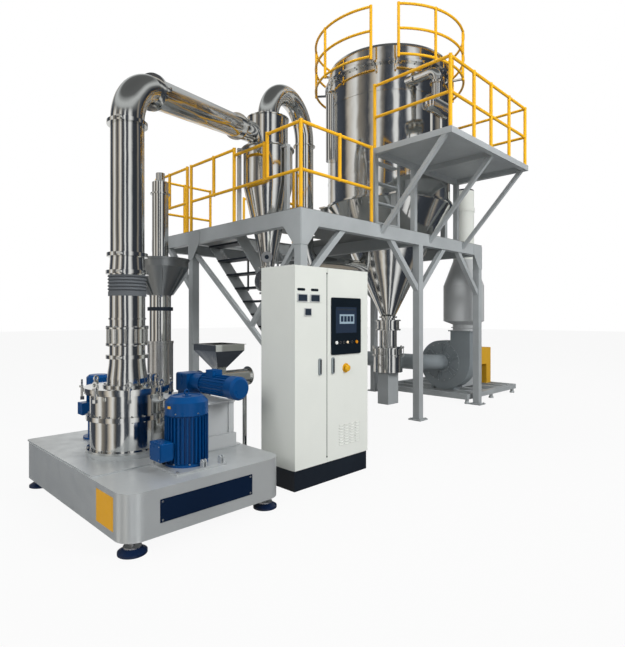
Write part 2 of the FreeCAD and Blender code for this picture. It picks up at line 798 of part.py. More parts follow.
def finned_body(x, y, r, fin, count, z0, z1):
    """Motor frame with cooling fins all round."""
    body = cyl(r, x, y, z0, z1)
    blade = box(x + r - 4, x + r + fin, y - MOTOR_FIN_T / 2, y + MOTOR_FIN_T / 2, z0 + 12, z1 - 12)
    return body.multiFuse(around(blade, x, y, count, 180.0 / count))


def make_main_motor():
    """Flange-mounted vertical motor: finned frame, fan cowl and terminal box."""
    x, y = MOTOR_X, MOTOR_Y
    z0 = BASE_TOP + PLATE_T
    z1 = z0 + MOTOR_FLANGE_T
    z2 = z1 + MOTOR_BODY_H
    flange = cyl(MOTOR_FLANGE_R, x, y, z0, z1)
    frame = finned_body(x, y, MOTOR_R, MOTOR_FIN, MOTOR_FINS, z1, z2)
    socket = cyl(MOTOR_SHAFT_R + RUN, x, y, z0 - 1, z0 + 120)
    bx = x - MOTOR_R - MOTOR_FIN
    seat = box(bx - 4, x - MOTOR_R + 6, y - BOX_W / 2 + 20, y + BOX_W / 2 - 20, z1 + 60, z1 + 60 + BOX_H - 30)
    add("main_motor", fuse([flange, frame, seat]).cut(socket))
    housing = box(bx - BOX_D, bx - 4, y - BOX_W / 2, y + BOX_W / 2, z1 + 45, z1 + 45 + BOX_H)
    edges = [e for e in housing.Edges if abs(e.tangentAt(e.FirstParameter).x) > 0.9]
    add("main_motor", housing.makeFillet(14, edges))
    cowl = turned([(0, z2), (COWL_R, z2), (COWL_R, z2 + COWL_H - COWL_DOME),
                   (COWL_R - COWL_DOME, z2 + COWL_H), (0, z2 + COWL_H)], x, y)
    grille = ring(COWL_R - COWL_DOME - 20, 40, x, y, z2 + COWL_H - 6, z2 + COWL_H + 1)
    add("main_motor", cowl.cut(grille))


def make_motor_shaft(name, x, y, r, bore_top, pulley_r, z0, belts):
    """Motor shaft from its socket down to the drive pulley."""
    add(name, cyl(r, x, y, z0, bore_top))
    add(name, grooved_pulley(pulley_r, r, x, y, z0, belts))
    add(name, cyl(r + 12, x, y, z0 - 8, z0))


def make_belts():
    for i in range(MAIN_BELTS):
        z = MAIN_PULLEY_Z + PULLEY_RIM + i * BELT_PITCH
        add("drive_belts", belt(MILL_X, MILL_Y, ROTOR_PULLEY_R + FREE, MOTOR_X, MOTOR_Y,
                                MOTOR_PULLEY_R + FREE, z, BELT_W - 2, BELT_T - 1))
    for i in range(CLASS_BELTS):
        z = CLASS_PULLEY_Z + PULLEY_RIM + i * BELT_PITCH
        add("drive_belts", belt(MILL_X, MILL_Y, CLASS_PULLEY_R + FREE, CLASS_MOTOR_X, CLASS_MOTOR_Y,
                                CLASS_MOTOR_PULLEY_R + FREE, z, BELT_W - 2, BELT_T - 1))


def make_classifier_motor():
    x, y, r = CLASS_MOTOR_X, CLASS_MOTOR_Y, CLASS_MOTOR_R
    z0 = RING_BASE
    z3 = z0 + CLASS_MOTOR_H
    skirt = cyl(r + 30, x, y, z0, z0 + 18)
    lantern = cyl(r - 14, x, y, z0 + 18, z0 + 160)
    frame = finned_body(x, y, r - 16, 16, 20, z0 + 160, z3 - 110)
    cowl = turned([(0, z3 - 110), (r, z3 - 110), (r, z3 - 25), (r - 25, z3), (0, z3)], x, y)
    side_box = box(x - r - 70, x - r + 20, y - 60, y + 60, z0 + 250, z0 + 370)
    socket = cyl(MOTOR_SHAFT_R + RUN, x, y, z0 - 1, z0 + 120)
    add("classifier_motor", fuse([skirt, lantern, frame, side_box]).cut(socket))
    add("classifier_motor", cowl)


def tapered_box(low, high):
    """Block lofted between two rectangles, each (x0, x1, y0, y1, z)."""
    wires = []
    for x0, x1, y0, y1, z in (low, high):
        wires.append(Part.makePolygon([V(x0, y0, z), V(x1, y0, z), V(x1, y1, z), V(x0, y1, z), V(x0, y0, z)]))
    return Part.makeLoft(wires, True, True)


def inset(rect, d):
    x0, x1, y0, y1, z = rect
    return x0 + d, x1 - d, y0 + d, y1 - d, z


def make_hopper():
    """Square feed hopper, open on top, with a rolled rim and a neck on the trough."""
    mid_x = (HOPPER_X0 + HOPPER_X1) / 2
    mid_y = FEED_Y
    m = HOPPER_MOUTH / 2
    rim = (HOPPER_X0, HOPPER_X1, HOPPER_Y0, HOPPER_Y1, HOPPER_RIM_Z)
    low_rim = rim[:4] + (HOPPER_RIM_Z - 70,)
    neck = (mid_x - m, mid_x + m, mid_y - m, mid_y + m, HOPPER_NECK_Z)
    foot_z = FEED_Z + 62
    outer = [tapered_box(low_rim, rim), tapered_box(neck, low_rim),
             box(neck[0], neck[1], neck[2], neck[3], foot_z, HOPPER_NECK_Z)]
    inner = [tapered_box(inset(low_rim, WALL), inset(rim[:4] + (HOPPER_RIM_Z + 1,), WALL)),
             tapered_box(inset(neck, WALL), inset(low_rim, WALL)),
             box(neck[0] + WALL, neck[1] - WALL, neck[2] + WALL, neck[3] - WALL, foot_z - 60, HOPPER_NECK_Z)]
    lip = box(rim[0] - 14, rim[1] + 14, rim[2] - 14, rim[3] + 14, HOPPER_RIM_Z - 5, HOPPER_RIM_Z)
    whole = outer[0].multiFuse(outer[1:] + [lip])
    hollow = inner[0].multiFuse(inner[1:])
    saddle = rod(V(FEED_X0, FEED_Y, FEED_Z), V(FEED_X1, FEED_Y, FEED_Z), TROUGH_R)
    add("feed_hopper", whole.cut(hollow).cut(saddle).removeSplitter())


def make_trough():
    """Screw tube with end plates, inlet under the hopper, drop tube and slanting chute to the mill."""
    inner = TROUGH_R - TROUGH_WALL
    a = V(FEED_X0, FEED_Y, FEED_Z)
    b = V(FEED_X1, FEED_Y, FEED_Z)
    tube = rod(a, b, TROUGH_R)
    left_plate = rod(a, a + V(10, 0, 0), TROUGH_R + 24)
    right_plate = rod(b - V(10, 0, 0), b, TROUGH_R + 24)
    drop = cyl(CHUTE_R + WALL, CHUTE_X, FEED_Y, CHUTE_Z1, FEED_Z)
    ball = Part.makeSphere(CHUTE_R + WALL, CHUTE_TOP)
    chute = rod(CHUTE_TOP, CHUTE_END, CHUTE_R + WALL)
    solid = fuse([tube, left_plate, right_plate, drop, ball, chute])
    core = rod(a + V(10, 0, 0), b - V(10, 0, 0), inner)
    drop_bore = cyl(CHUTE_R, CHUTE_X, FEED_Y, CHUTE_Z1, FEED_Z)
    bore = rod(CHUTE_TOP, CHUTE_END, CHUTE_R)
    m = HOPPER_MOUTH / 2 - WALL
    mid_x = (HOPPER_X0 + HOPPER_X1) / 2
    inlet = box(mid_x - m, mid_x + m, FEED_Y - m, FEED_Y + m, FEED_Z, FEED_Z + TROUGH_R + 10)
    journal = rod(a - V(1, 0, 0), b + V(1, 0, 0), SCREW_CORE_R + RUN)
    casing = cyl(MILL_R, MILL_X, MILL_Y, BASE_TOP, CLASS_Z1)
    inside = Part.makeSphere(CHUTE_R, CHUTE_TOP)
    hollow = core.multiFuse([drop_bore, bore, inlet, journal, inside])
    leg = cyl(FEED_LEG_R, FEED_LEG_X, FEED_Y, 12, FEED_Z - 100)
    shoe = cyl(FEED_LEG_R * 2.4, FEED_LEG_X, FEED_Y, 0, 12)
    saddle = box(FEED_LEG_X - 20, FEED_LEG_X + 20, FEED_Y - 60, FEED_Y + 60, FEED_Z - 100, FEED_Z - 40)
    trough = solid.cut(hollow).cut(casing)
    support = fuse([leg, shoe, saddle]).cut(rod(a, b, TROUGH_R))
    add("feeder_trough", keep_main(trough), support)


def keep_low(shape):
    return min(shape.Solids, key=lambda s: s.CenterOfMass.z)


def keep_main(shape):
    """Largest solid of a cut."""
    return max(shape.Solids, key=lambda s: s.Volume)


def make_screw():
    """Screw core with one helical flight, running in the end plates."""
    x0 = FEED_X0 + 10 + 4
    x1 = FEED_X1 - 10 - 4
    turns = (x1 - x0 - SCREW_FLIGHT_T) / SCREW_PITCH
    helix = Part.makeHelix(SCREW_PITCH, turns * SCREW_PITCH, SCREW_CORE_R)
    low = SCREW_CORE_R + 0.05
    t = SCREW_FLIGHT_T
    section = Part.makePolygon([V(low, 0, 0), V(SCREW_R, 0, 0), V(SCREW_R, 0, t), V(low, 0, t), V(low, 0, 0)])
    flight = Part.Wire(helix.Edges).makePipeShell([section], True, True)
    flight.rotate(V(0, 0, 0), V(0, 1, 0), 90)
    flight.translate(V(x0, FEED_Y, FEED_Z))
    core = rod(V(GEARBOX_X - 40, FEED_Y, FEED_Z), V(FEED_X1 + 14, FEED_Y, FEED_Z), SCREW_CORE_R)
    add("feed_screw", core, flight)


def make_gearmotor():
    """Worm gearbox on the screw shaft with its motor standing out to the front."""
    x, y, z = GEARBOX_X, FEED_Y, FEED_Z
    half = GEARBOX_R
    case = box(x - half + 12, FEED_X0, y - half, y + half, z - half + 8, z + half - 8)
    edges = [e for e in case.Edges if abs(e.tangentAt(e.FirstParameter).y) > 0.9]
    case = case.makeFillet(24, edges)
    foot = box(x - half + 20, x + half - 20, y - 80, y + 80, TABLE_Z, z - half + 10)
    bore = rod(V(x - 41, y, z), V(FEED_X0 + 1, y, z), SCREW_CORE_R + RUN)
    reducer = rod(V(x + 20, y - half, z + 8), V(x + 20, y - half - 170, z + 8), 84)
    collar = rod(V(x + 20, y - half - 170, z + 8), V(x + 20, y - half - 190, z + 8), GEAR_MOTOR_R)
    add("feeder_gearmotor", fuse([case, foot, reducer, collar]).cut(bore))
    start = y - half - 190
    end = GEAR_MOTOR_Y
    frame = rod(V(x + 20, start, z + 8), V(x + 20, end + 130, z + 8), GEAR_MOTOR_R - 14)
    fins = []
    for i in range(20):
        fin = box(x + 20 + GEAR_MOTOR_R - 17, x + 20 + GEAR_MOTOR_R, end + 140, start - 10,
                  z + 8 - 2, z + 8 + 2)
        fin.rotate(V(x + 20, 0, z + 8), V(0, 1, 0), 9 + i * 18)
        fins.append(fin)
    lid = box(x + 20 - 55, x + 20 + 55, start - 190, start - 70, z + 60, z + 8 + GEAR_MOTOR_R + 42)
    add("feeder_gearmotor", fuse([frame, lid] + fins))
    cowl = rod(V(x + 20, end + 130, z + 8), V(x + 20, end, z + 8), GEAR_MOTOR_R + 6)
    rim = [e for e in cowl.Edges if abs(e.CenterOfMass.y - end) < 1]
    add("feeder_gearmotor", cowl.makeChamfer(22, rim))


def make_stand():
    """Plinth, legs, front panel and table under the gearmotor and trough."""
    x0, x1, y0, y1 = STAND_X0, STAND_X1, STAND_Y0, STAND_Y1
    z0 = RING_BASE
    z1 = z0 + STAND_PLINTH_H
    pieces = [box(x0, x1, y0, y1, z0, z1)]
    top = TABLE_Z - TABLE_T
    for lx in (x0, x1 - LEG):
        for ly in (y0 + 40, y1 - LEG):
            pieces.append(box(lx, lx + LEG, ly, ly + LEG, z1, top))
    pieces.append(box(x0 + LEG, x1 - LEG, y0 + 52, y0 + 60, z1, top))
    pieces.append(box(x0, x1, y0 + 20, y1, top, TABLE_Z))
    add("mill_base", fuse(pieces))


def make_cabinet():
    """Folded sheet body, open at the front, with its mounting plate, on a dark plinth."""
    w = CAB_WALL
    front = CAB_Y0 + DOOR_T + FREE
    body = box(CAB_X0, CAB_X1, front, CAB_Y1, PLINTH_H, CAB_H)
    room = box(CAB_X0 + w, CAB_X1 - w, front - 1, CAB_Y1 - w, PLINTH_H + w, CAB_H - w)
    add("cabinet_shell", body.cut(room))
    plate = box(CAB_X0 + 90, CAB_X1 - 90, CAB_Y1 - w - 30, CAB_Y1 - w - 26, PLINTH_H + 90, CAB_H - 90)
    posts = [box(px, px + 26, CAB_Y1 - w - 26, CAB_Y1 - w, pz, pz + 26)
             for px in (CAB_X0 + 110, CAB_X1 - 136) for pz in (PLINTH_H + 110, CAB_H - 136)]
    add("cabinet_shell", fuse([plate] + posts))
    foot = box(CAB_X0 + 6, CAB_X1 - 6, CAB_Y0 + 14, CAB_Y1 - 6, 0, PLINTH_H)
    add("cabinet_plinth", foot.cut(box(CAB_X0 + 20, CAB_X1 - 20, CAB_Y0 + 28, CAB_Y1 - 20, -1, PLINTH_H - 6)))


def make_door(name, x0, x1, cuts, extras):
    """Folded sheet door with its returns, cut for what it carries."""
    face = box(x0, x1, CAB_Y0, CAB_Y0 + DOOR_T, PLINTH_H + 4, CAB_H - 4)
    back = box(x0 + 14, x1 - 14, CAB_Y0 + 3, CAB_Y0 + DOOR_T + 1, PLINTH_H + 18, CAB_H - 18)
    add(name, fuse([face.cut(back)] + extras).cut(Part.makeCompound(cuts)))


def door_boss(x, z, r):
    """Round seat behind the sheet, for a spindle or a button."""
    return rod(V(x, CAB_Y0 + 1, z), V(x, CAB_Y0 + DOOR_T, z), r)


def make_doors():
    for name, x0, x1, hx in (("left_door", CAB_X0, DOOR_SEAM_X - DOOR_SEAM / 2, LEFT_HANDLE_X),
                             ("right_door", DOOR_SEAM_X + DOOR_SEAM / 2, CAB_X1, RIGHT_HANDLE_X)):
        cuts = [rod(V(hx, CAB_Y0 - 1, HANDLE_Z - 50), V(hx, CAB_Y0 + DOOR_T + 1, HANDLE_Z - 50), 8 + RUN)]
        extras = [door_boss(hx, HANDLE_Z - 50, 22)]
        if name == "right_door":
            for bx, bz, r in ((ESTOP_X, ESTOP_Z, 12), (START_X, BUTTON_Z, 8), (STOP_X, BUTTON_Z, 8)):
                extras.append(door_boss(bx, bz, r + 10))
                cuts.append(rod(V(bx, CAB_Y0 - PANEL_T - 2, bz), V(bx, CAB_Y0 + DOOR_T + 1, bz), r + RUN))
            step = (LOUVRE_X1 - LOUVRE_X0 + LOUVRE_GAP) / LOUVRE_COLUMNS
            for i in range(LOUVRE_ROWS):
                z = LOUVRE_Z1 - i * LOUVRE_PITCH
                for k in range(LOUVRE_COLUMNS):
                    x = LOUVRE_X0 + k * step
                    cuts.append(box(x, x + step - LOUVRE_GAP, CAB_Y0 - 1, CAB_Y0 + 4, z - 9, z))
        make_door(name, x0, x1, cuts, extras)
        spindle = rod(V(hx, CAB_Y0 - 6, HANDLE_Z - 50), V(hx, CAB_Y0 + DOOR_T - 1, HANDLE_Z - 50), 8)
        grip = box(hx - HANDLE_W / 2, hx + HANDLE_W / 2, CAB_Y0 - HANDLE_T - FREE, CAB_Y0 - FREE,
                   HANDLE_Z - HANDLE_H / 2, HANDLE_Z + HANDLE_H / 2)
        edges = [e for e in grip.Edges if abs(e.tangentAt(e.FirstParameter).y) > 0.9]
        add(name.replace("door", "handle"), grip.makeFillet(HANDLE_W / 2 - 0.5, edges).fuse(spindle))
    frame_y = CAB_Y0 - 10
    for x0, x1, z0, z1 in METERS:
        add("left_door", box(x0, x1, frame_y, CAB_Y0, z0, z1))


def make_controls():
    """Touch panel with its screen recess and lamps, and the buttons that travel."""
    y1 = CAB_Y0
    y0 = y1 - PANEL_T
    plate = box(PANEL_X0, PANEL_X1, y0, y1, PANEL_Z0, PANEL_Z1)
    screen = box(SCREEN_X0, SCREEN_X1, y0 - 1, y0 + 4, SCREEN_Z0, SCREEN_Z1)
    holes = [rod(V(x, y0 - 1, BUTTON_Z), V(x, y1 + 1, BUTTON_Z), 8 + RUN) for x in (START_X, STOP_X)]
    corners = [e for e in plate.Edges if abs(e.tangentAt(e.FirstParameter).y) > 0.9]
    plate = plate.makeFillet(PANEL_CORNER, corners)
    add("touch_panel", plate.cut(Part.makeCompound([screen] + holes)))
    for x in LAMP_X:
        add("touch_panel", rod(V(x, y0 - 10, BUTTON_Z), V(x, y0, BUTTON_Z), LAMP_R))
    for name, x in (("start_button", START_X), ("stop_button", STOP_X)):
        stem = rod(V(x, y0 - 6, BUTTON_Z), V(x, y1 + DOOR_T - 4, BUTTON_Z), 8)
        cap = rod(V(x, y0 - 14, BUTTON_Z), V(x, y0 - 6, BUTTON_Z), BUTTON_R)
        add(name, stem.fuse(cap))
    seat = rod(V(ESTOP_X, y1 - 6, ESTOP_Z), V(ESTOP_X, y1, ESTOP_Z), 50)
    add("right_door", seat.cut(rod(V(ESTOP_X, y1 - 7, ESTOP_Z), V(ESTOP_X, y1 + 1, ESTOP_Z), 12 + RUN)))
    stem = rod(V(ESTOP_X, y1 - 20, ESTOP_Z), V(ESTOP_X, y1 + DOOR_T - 6, ESTOP_Z), 12)
    head = rod(V(ESTOP_X, y1 - 44, ESTOP_Z), V(ESTOP_X, y1 - 20, ESTOP_Z), 34)
    rim = [e for e in head.Edges if abs(e.CenterOfMass.y - (y1 - 44)) < 1]
    add("emergency_button", head.makeFillet(9, rim).fuse(stem))


BEAM_TOP = DECK_Z - DECK_T
BEAM_LOW = BEAM_TOP - BEAM_H
HALF = BEAM_W / 2


def make_columns():
    """Box columns on foot plates, with trapezoid gussets at their heads."""
    half = COL / 2
    for cx in (DECK_X0, MID_X, DECK_X1):
        for cy in (DECK_Y0, REAR_COL_Y):
            post = box(cx - half, cx + half, cy - half, cy + half, FOOT_PLATE_T, BEAM_LOW)
            foot = box(cx - FOOT_PLATE / 2, cx + FOOT_PLATE / 2, cy - FOOT_PLATE / 2, cy + FOOT_PLATE / 2,
                       0, FOOT_PLATE_T)
            add("platform_columns", post, foot)
    low = BEAM_LOW - GUSSET_H
    high = BEAM_TOP - 30
    for cx in (DECK_X0, DECK_X1):
        reach = GUSSET_W if cx < 0 else -GUSSET_W
        y = DECK_Y0 - HALF
        outline = [V(cx - math.copysign(half, reach), y, low), V(cx + math.copysign(half, reach), y, low),
                   V(cx + reach, y, BEAM_LOW), V(cx + reach, y, high), V(cx - math.copysign(half, reach), y, high)]
        add("platform_columns", prism(outline, V(0, -GUSSET_T, 0)))
    for cy, reach in ((DECK_Y0, GUSSET_W), (REAR_COL_Y, -GUSSET_W)):
        x = DECK_X0 - HALF
        outline = [V(x, cy - math.copysign(half, reach), low), V(x, cy + math.copysign(half, reach), low),
                   V(x, cy + reach, BEAM_LOW), V(x, cy + reach, high), V(x, cy - math.copysign(half, reach), high)]
        add("platform_columns", prism(outline, V(-GUSSET_T, 0, 0)))


def knee(cx, cy, dx, dy):
    """Knee brace from a column face up to the beam's underside."""
    face = COL / 2
    out = KNEE
    t = KNEE_T
    if dx:
        a = V(cx + dx * face, cy - t / 2, BEAM_LOW - out)
        b = V(cx + dx * (face + out), cy - t / 2, BEAM_LOW)
        outline = [a, a + V(0, 0, t * 1.4), b - V(dx * t * 1.4, 0, 0), b]
        return prism(outline, V(0, t, 0))
    a = V(cx - t / 2, cy + dy * face, BEAM_LOW - out)
    b = V(cx - t / 2, cy + dy * (face + out), BEAM_LOW)
    outline = [a, a + V(0, 0, t * 1.4), b - V(0, dy * t * 1.4, 0), b]
    return prism(outline, V(t, 0, 0))


def make_beams():
    """Edge beams, cross beams, knee braces and the long side diagonal."""
    z0, z1 = BEAM_LOW, BEAM_TOP
    x0, x1, y0, y1 = DECK_X0, DECK_X1, DECK_Y0, DECK_Y1
    h = HALF
    add("platform_beams",
        box(x0 - h, x1 + h, y0 - h, y0 + h, z0, z1),
        box(x0 - h, x1 + h, y1 - h, y1 + h, z0, z1),
        box(x0 - h, x0 + h, y0 + h, y1 - h, z0, z1),
        box(x1 - h, x1 + h, y0 + h, y1 - h, z0, z1),
        box(MID_X - h, MID_X + h, y0 + h, y1 - h, z0, z1),
        box(x0 + h, MID_X - h, REAR_COL_Y - h, REAR_COL_Y + h, z0, z1),
        box(MID_X + h, x1 - h, REAR_COL_Y - h, REAR_COL_Y + h, z0, z1))
    for cx, cy, dx, dy in ((x0, y0, 1, 0), (MID_X, y0, 1, 0), (MID_X, y0, -1, 0),
                           (x1, y0, -1, 0), (x0, REAR_COL_Y, 0, 1), (x1, REAR_COL_Y, 0, 1)):
        add("platform_beams", knee(cx, cy, dx, dy))
    make_side_braces()
    for x, y in filter_legs():
        add("platform_beams", box(x - 50, x + 50, y - 50, y + 50, DECK_Z, FIL_Z0))


def make_side_braces():
    """Long diagonal of the left side, and the short brace that runs down onto it from the front column."""
    x = DECK_X0 - DIAGONAL_T / 2
    near = DECK_Y0 + COL / 2
    far = REAR_COL_Y - COL / 2
    climb = (DIAGONAL_Z1 - DIAGONAL_Z0) / (far - near)
    rise = DIAGONAL_T * math.hypot(1, climb)
    outline = [V(x, near, DIAGONAL_Z0), V(x, near, DIAGONAL_Z0 + rise),
               V(x, far, DIAGONAL_Z1 + rise), V(x, far, DIAGONAL_Z1)]
    add("platform_beams", prism(outline, V(DIAGONAL_T, 0, 0)))
    high = BEAM_LOW - BRACE_DROP
    low = high - DIAGONAL_T * math.hypot(1, BRACE_FALL)

    def landing(z):
        run = (z - DIAGONAL_Z0 - rise) / (climb + BRACE_FALL)
        return V(x, near + run, z - run * BRACE_FALL)

    outline = [V(x, near, low), V(x, near, high), landing(high), landing(low)]
    add("platform_beams", prism(outline, V(DIAGONAL_T, 0, 0)))


def filter_legs():
    """Feet of the filter's legs, on the beams to its left and right."""
    r = FIL_R + LEG_OUT
    places = []
    for x in (MID_X, DECK_X1):
        reach = math.sqrt(r * r - (x - FIL_X) ** 2)
        places += [(x, FIL_Y - reach), (x, FIL_Y + reach)]
    return places


def make_deck():
    """Chequer plate deck with the stair opening and the holes for cyclone, filter and duct."""
    plate = box(DECK_X0 - HALF, DECK_X1 + HALF, DECK_Y0 - HALF, DECK_Y1 + HALF, BEAM_TOP, DECK_Z)
    holes = [box(STAIR_X0, STAIR_OPEN_X1, STAIR_Y0, STAIR_Y1, BEAM_TOP - 1, DECK_Z + 1),
             cyl(cyclone_radius(DECK_Z) + 60, CYC_X, CYC_Y, BEAM_TOP - 1, DECK_Z + 1),
             cyl(hopper_radius(DECK_Z) + 60, FIL_X, FIL_Y, BEAM_TOP - 1, DECK_Z + 1),
             cyl(CLEAN_R + 30, CLEAN_X, CLEAN_Y, BEAM_TOP - 1, DECK_Z + 1),
             cyl(OUT_R + 30, DOWN_X, DOWN_Y, BEAM_TOP - 1, DECK_Z + 1)]
    add("platform_deck", plate.cut(Part.makeCompound(holes)))


def cyclone_radius(z):
    return CYC_CONE_R + (CYC_R - CYC_CONE_R) * (z - CYC_CONE_Z) / (CYC_BARREL_Z - CYC_CONE_Z)


def hopper_radius(z):
    return FIL_CONE_R + (FIL_R - FIL_CONE_R) * (z - FIL_CONE_Z) / (FIL_Z0 - FIL_CONE_Z)


def railing(name, start, along, posts, rails):
    """Straight handrail: posts (s, foot z, top z) and rails (s0, s1, z), coped to the posts."""
    uprights = []
    for s, z0, z1 in posts:
        p = start + along * s
        uprights.append(cyl(POST_R, p.x, p.y, z0, z1))
    add(name, *uprights)
    cutters = Part.makeCompound(uprights)
    for s0, s1, z in rails:
        tube = rod(start + along * s0 + UP * z, start + along * s1 + UP * z, RAIL_R)
        add(name, *tube.cut(cutters).Solids)


def make_lower_handrail():
    """Handrail on the left and front edges, lowered where the duct crosses, and round the far edges."""
    top, mid, z0 = RAIL_TOP, RAIL_MID, DECK_Z
    corner = V(DECK_X0, DECK_Y0, 0)
    cap = RAIL_R + 3
    end = DECK_Y1 - DECK_Y0
    left_posts = [(0, z0, top + 35 + cap), (RAIL_A, mid - RAIL_R, top + 35 + cap),
                  (RAIL_A + 60, mid - RAIL_R, top - 85 + cap), (RAIL_B, z0, top + cap),
                  (RAIL_B + 530, mid - RAIL_R, top + cap), (RAIL_C, z0, top + cap),
                  (RAIL_C + 120, z0, top + cap), (RAIL_C + 700, mid - RAIL_R, top + cap), (end, z0, top + cap)]
    left_rails = [(0, RAIL_C, mid), (0, RAIL_A, top + 35), (RAIL_A + 60, RAIL_B, top - 85),
                  (RAIL_B, RAIL_C, top), (RAIL_C + 120, end, mid), (RAIL_C + 120, end, top)]
    railing("platform_handrail", corner, V(0, 1, 0), left_posts, left_rails)
    span = FRONT_RAIL_X1 - DECK_X0
    front_posts = [(740, mid - RAIL_R, top + 35 + cap), (span, z0, top + 35 + cap)]
    railing("platform_handrail", corner, V(1, 0, 0), front_posts,
            [(POST_R, span, mid), (POST_R, span, top + 35)])
    rear = V(DECK_X0, DECK_Y1, 0)
    width = DECK_X1 - DECK_X0
    left = REAR_GAP_X0 - DECK_X0
    right = REAR_GAP_X1 - DECK_X0
    rear_posts = [(s, z0, top + cap) for s in (left / 2, left, right, (right + width) / 2, width)]
    rear_rails = [(s0, s1, z) for s0, s1 in ((POST_R, left), (right, width)) for z in (mid, top)]
    railing("platform_handrail", rear, V(1, 0, 0), rear_posts, rear_rails)
    side = V(DECK_X1, REAR_COL_Y, 0)
    reach = DECK_Y1 - REAR_COL_Y
    railing("platform_handrail", side, V(0, 1, 0), [(0, z0, top + cap)],
            [(0, reach - POST_R, mid), (0, reach - POST_R, top)])
    length = STAIR_RAIL_X1 - STAIR_RAIL_X0
    posts = [(s, z0, top - 60 + cap) for s in (0, length / 2, length)]
    railing("platform_handrail", V(STAIR_RAIL_X0, STAIR_Y0 - 40, 0), V(1, 0, 0), posts,
            [(0, length, mid), (0, length, top - 60)])


def make_stairs():
    """Plate stringers with folded treads, from the deck opening down to the floor."""
    slope = math.tan(math.radians(STAIR_SLOPE))
    run = BEAM_TOP / slope
    depth = STRINGER_D / math.cos(math.radians(STAIR_SLOPE))
    x0 = STAIR_X0 + HALF
    edge = DECK_X0 + HALF
    head = BEAM_TOP - STRINGER_D
    for y in (STAIR_Y0 + 8, STAIR_Y1 - 8 - STRINGER_T):
        outline = [V(edge, y, BEAM_TOP), V(edge, y, head), V(x0 - (depth - STRINGER_D) / slope, y, head),
                   V(x0 + run - depth / slope, y, 0), V(x0 + run, y, 0), V(x0, y, BEAM_TOP)]
        add("platform_stairs", prism(outline, V(0, STRINGER_T, 0)))
    rise = BEAM_TOP / (TREAD_COUNT + 1)
    for i in range(TREAD_COUNT):
        z = BEAM_TOP - (i + 1) * rise
        x = x0 + (i + 1) * rise / slope
        front = x - 20
        back = x - 20 - TREAD_D
        add("platform_stairs", box(back, front, STAIR_Y0 + 8 + STRINGER_T, STAIR_Y1 - 8 - STRINGER_T,
                                   z - TREAD_T, z))
    for y in (STAIR_Y0 + 8 + STRINGER_T / 2, STAIR_Y1 - 8 - STRINGER_T / 2):
        make_banister(y, x0, slope)


def make_banister(y, head_x, slope):
    """Sloping handrail over one stringer, on posts that stand on its edge."""
    def edge(x):
        return BEAM_TOP - (x - head_x) * slope

    tube = rod(V(BANISTER_X0, y, edge(BANISTER_X0) + BANISTER_H), V(BANISTER_X1, y, edge(BANISTER_X1) + BANISTER_H),
               BANISTER_R)
    run = BANISTER_X1 - BANISTER_X0 - 200
    for i in range(4):
        x = BANISTER_X0 + 100 + run * i / 3
        post = cyl(BANISTER_POST_R, x, y, edge(x - BANISTER_POST_R), edge(x) + BANISTER_H)
        add("platform_stairs", keep_low(post.cut(tube)))
    add("platform_stairs", tube)


def make_upper_platform():
    """Upper deck on its beams, posts and sloping braces, with the ladder from the lower deck."""
    z1 = UP_Z - DECK_T
    z0 = z1 - UP_BEAM
    h = UP_BEAM / 2
    x0, x1, y0, y1 = UP_X0, UP_X1, UP_Y0, UP_Y1
    name = "upper_platform"
    add(name, box(x0 - h, x1 + h, y0 - h, y0 + h, z0, z1), box(x0 - h, x1 + h, y1 - h, y1 + h, z0, z1),
        box(x0 - h, x0 + h, y0 + h, y1 - h, z0, z1), box(x1 - h, x1 + h, y0 + h, y1 - h, z0, z1),
        box(UP_MID_X - h, UP_MID_X + h, y0 + h, y1 - h, z0, z1),
        box(x0 - h, x1 + h, y0 - h, y1 + h, z1, UP_Z))
    for x in (x0, MID_X, x1):
        add(name, box(x - h, x + h, y1 - h, y1 + h, DECK_Z, z0))
    for x in (x0, UP_MID_X, x1):
        t = UP_BRACE_T
        low = V(x - t / 2, DECK_Y0 - HALF, BEAM_LOW + 60)
        high = V(x - t / 2, y0 + h, z0)
        outline = [low, low + UP * (t * 1.4), high + V(0, t * 1.4, 0), high]
        add(name, prism(outline, V(t, 0, 0)))
    for x in (LADDER_X0, LADDER_X1):
        add(name, box(x - 30, x + 30, LADDER_Y - 8, LADDER_Y + 8, DECK_Z, UP_Z))
    for i in range(LADDER_RUNGS):
        z = DECK_Z + 90 + i * RUNG_PITCH
        add(name, box(LADDER_X0 + 30, LADDER_X1 - 30, LADDER_Y - 8, LADDER_Y + 90, z - 12, z + 12))
    tie_z = z0 + 20
    for x in (LADDER_X0, LADDER_X1):
        add(name, box(x - 20, x + 20, y1 + h, LADDER_Y - 8, tie_z, tie_z + 30))


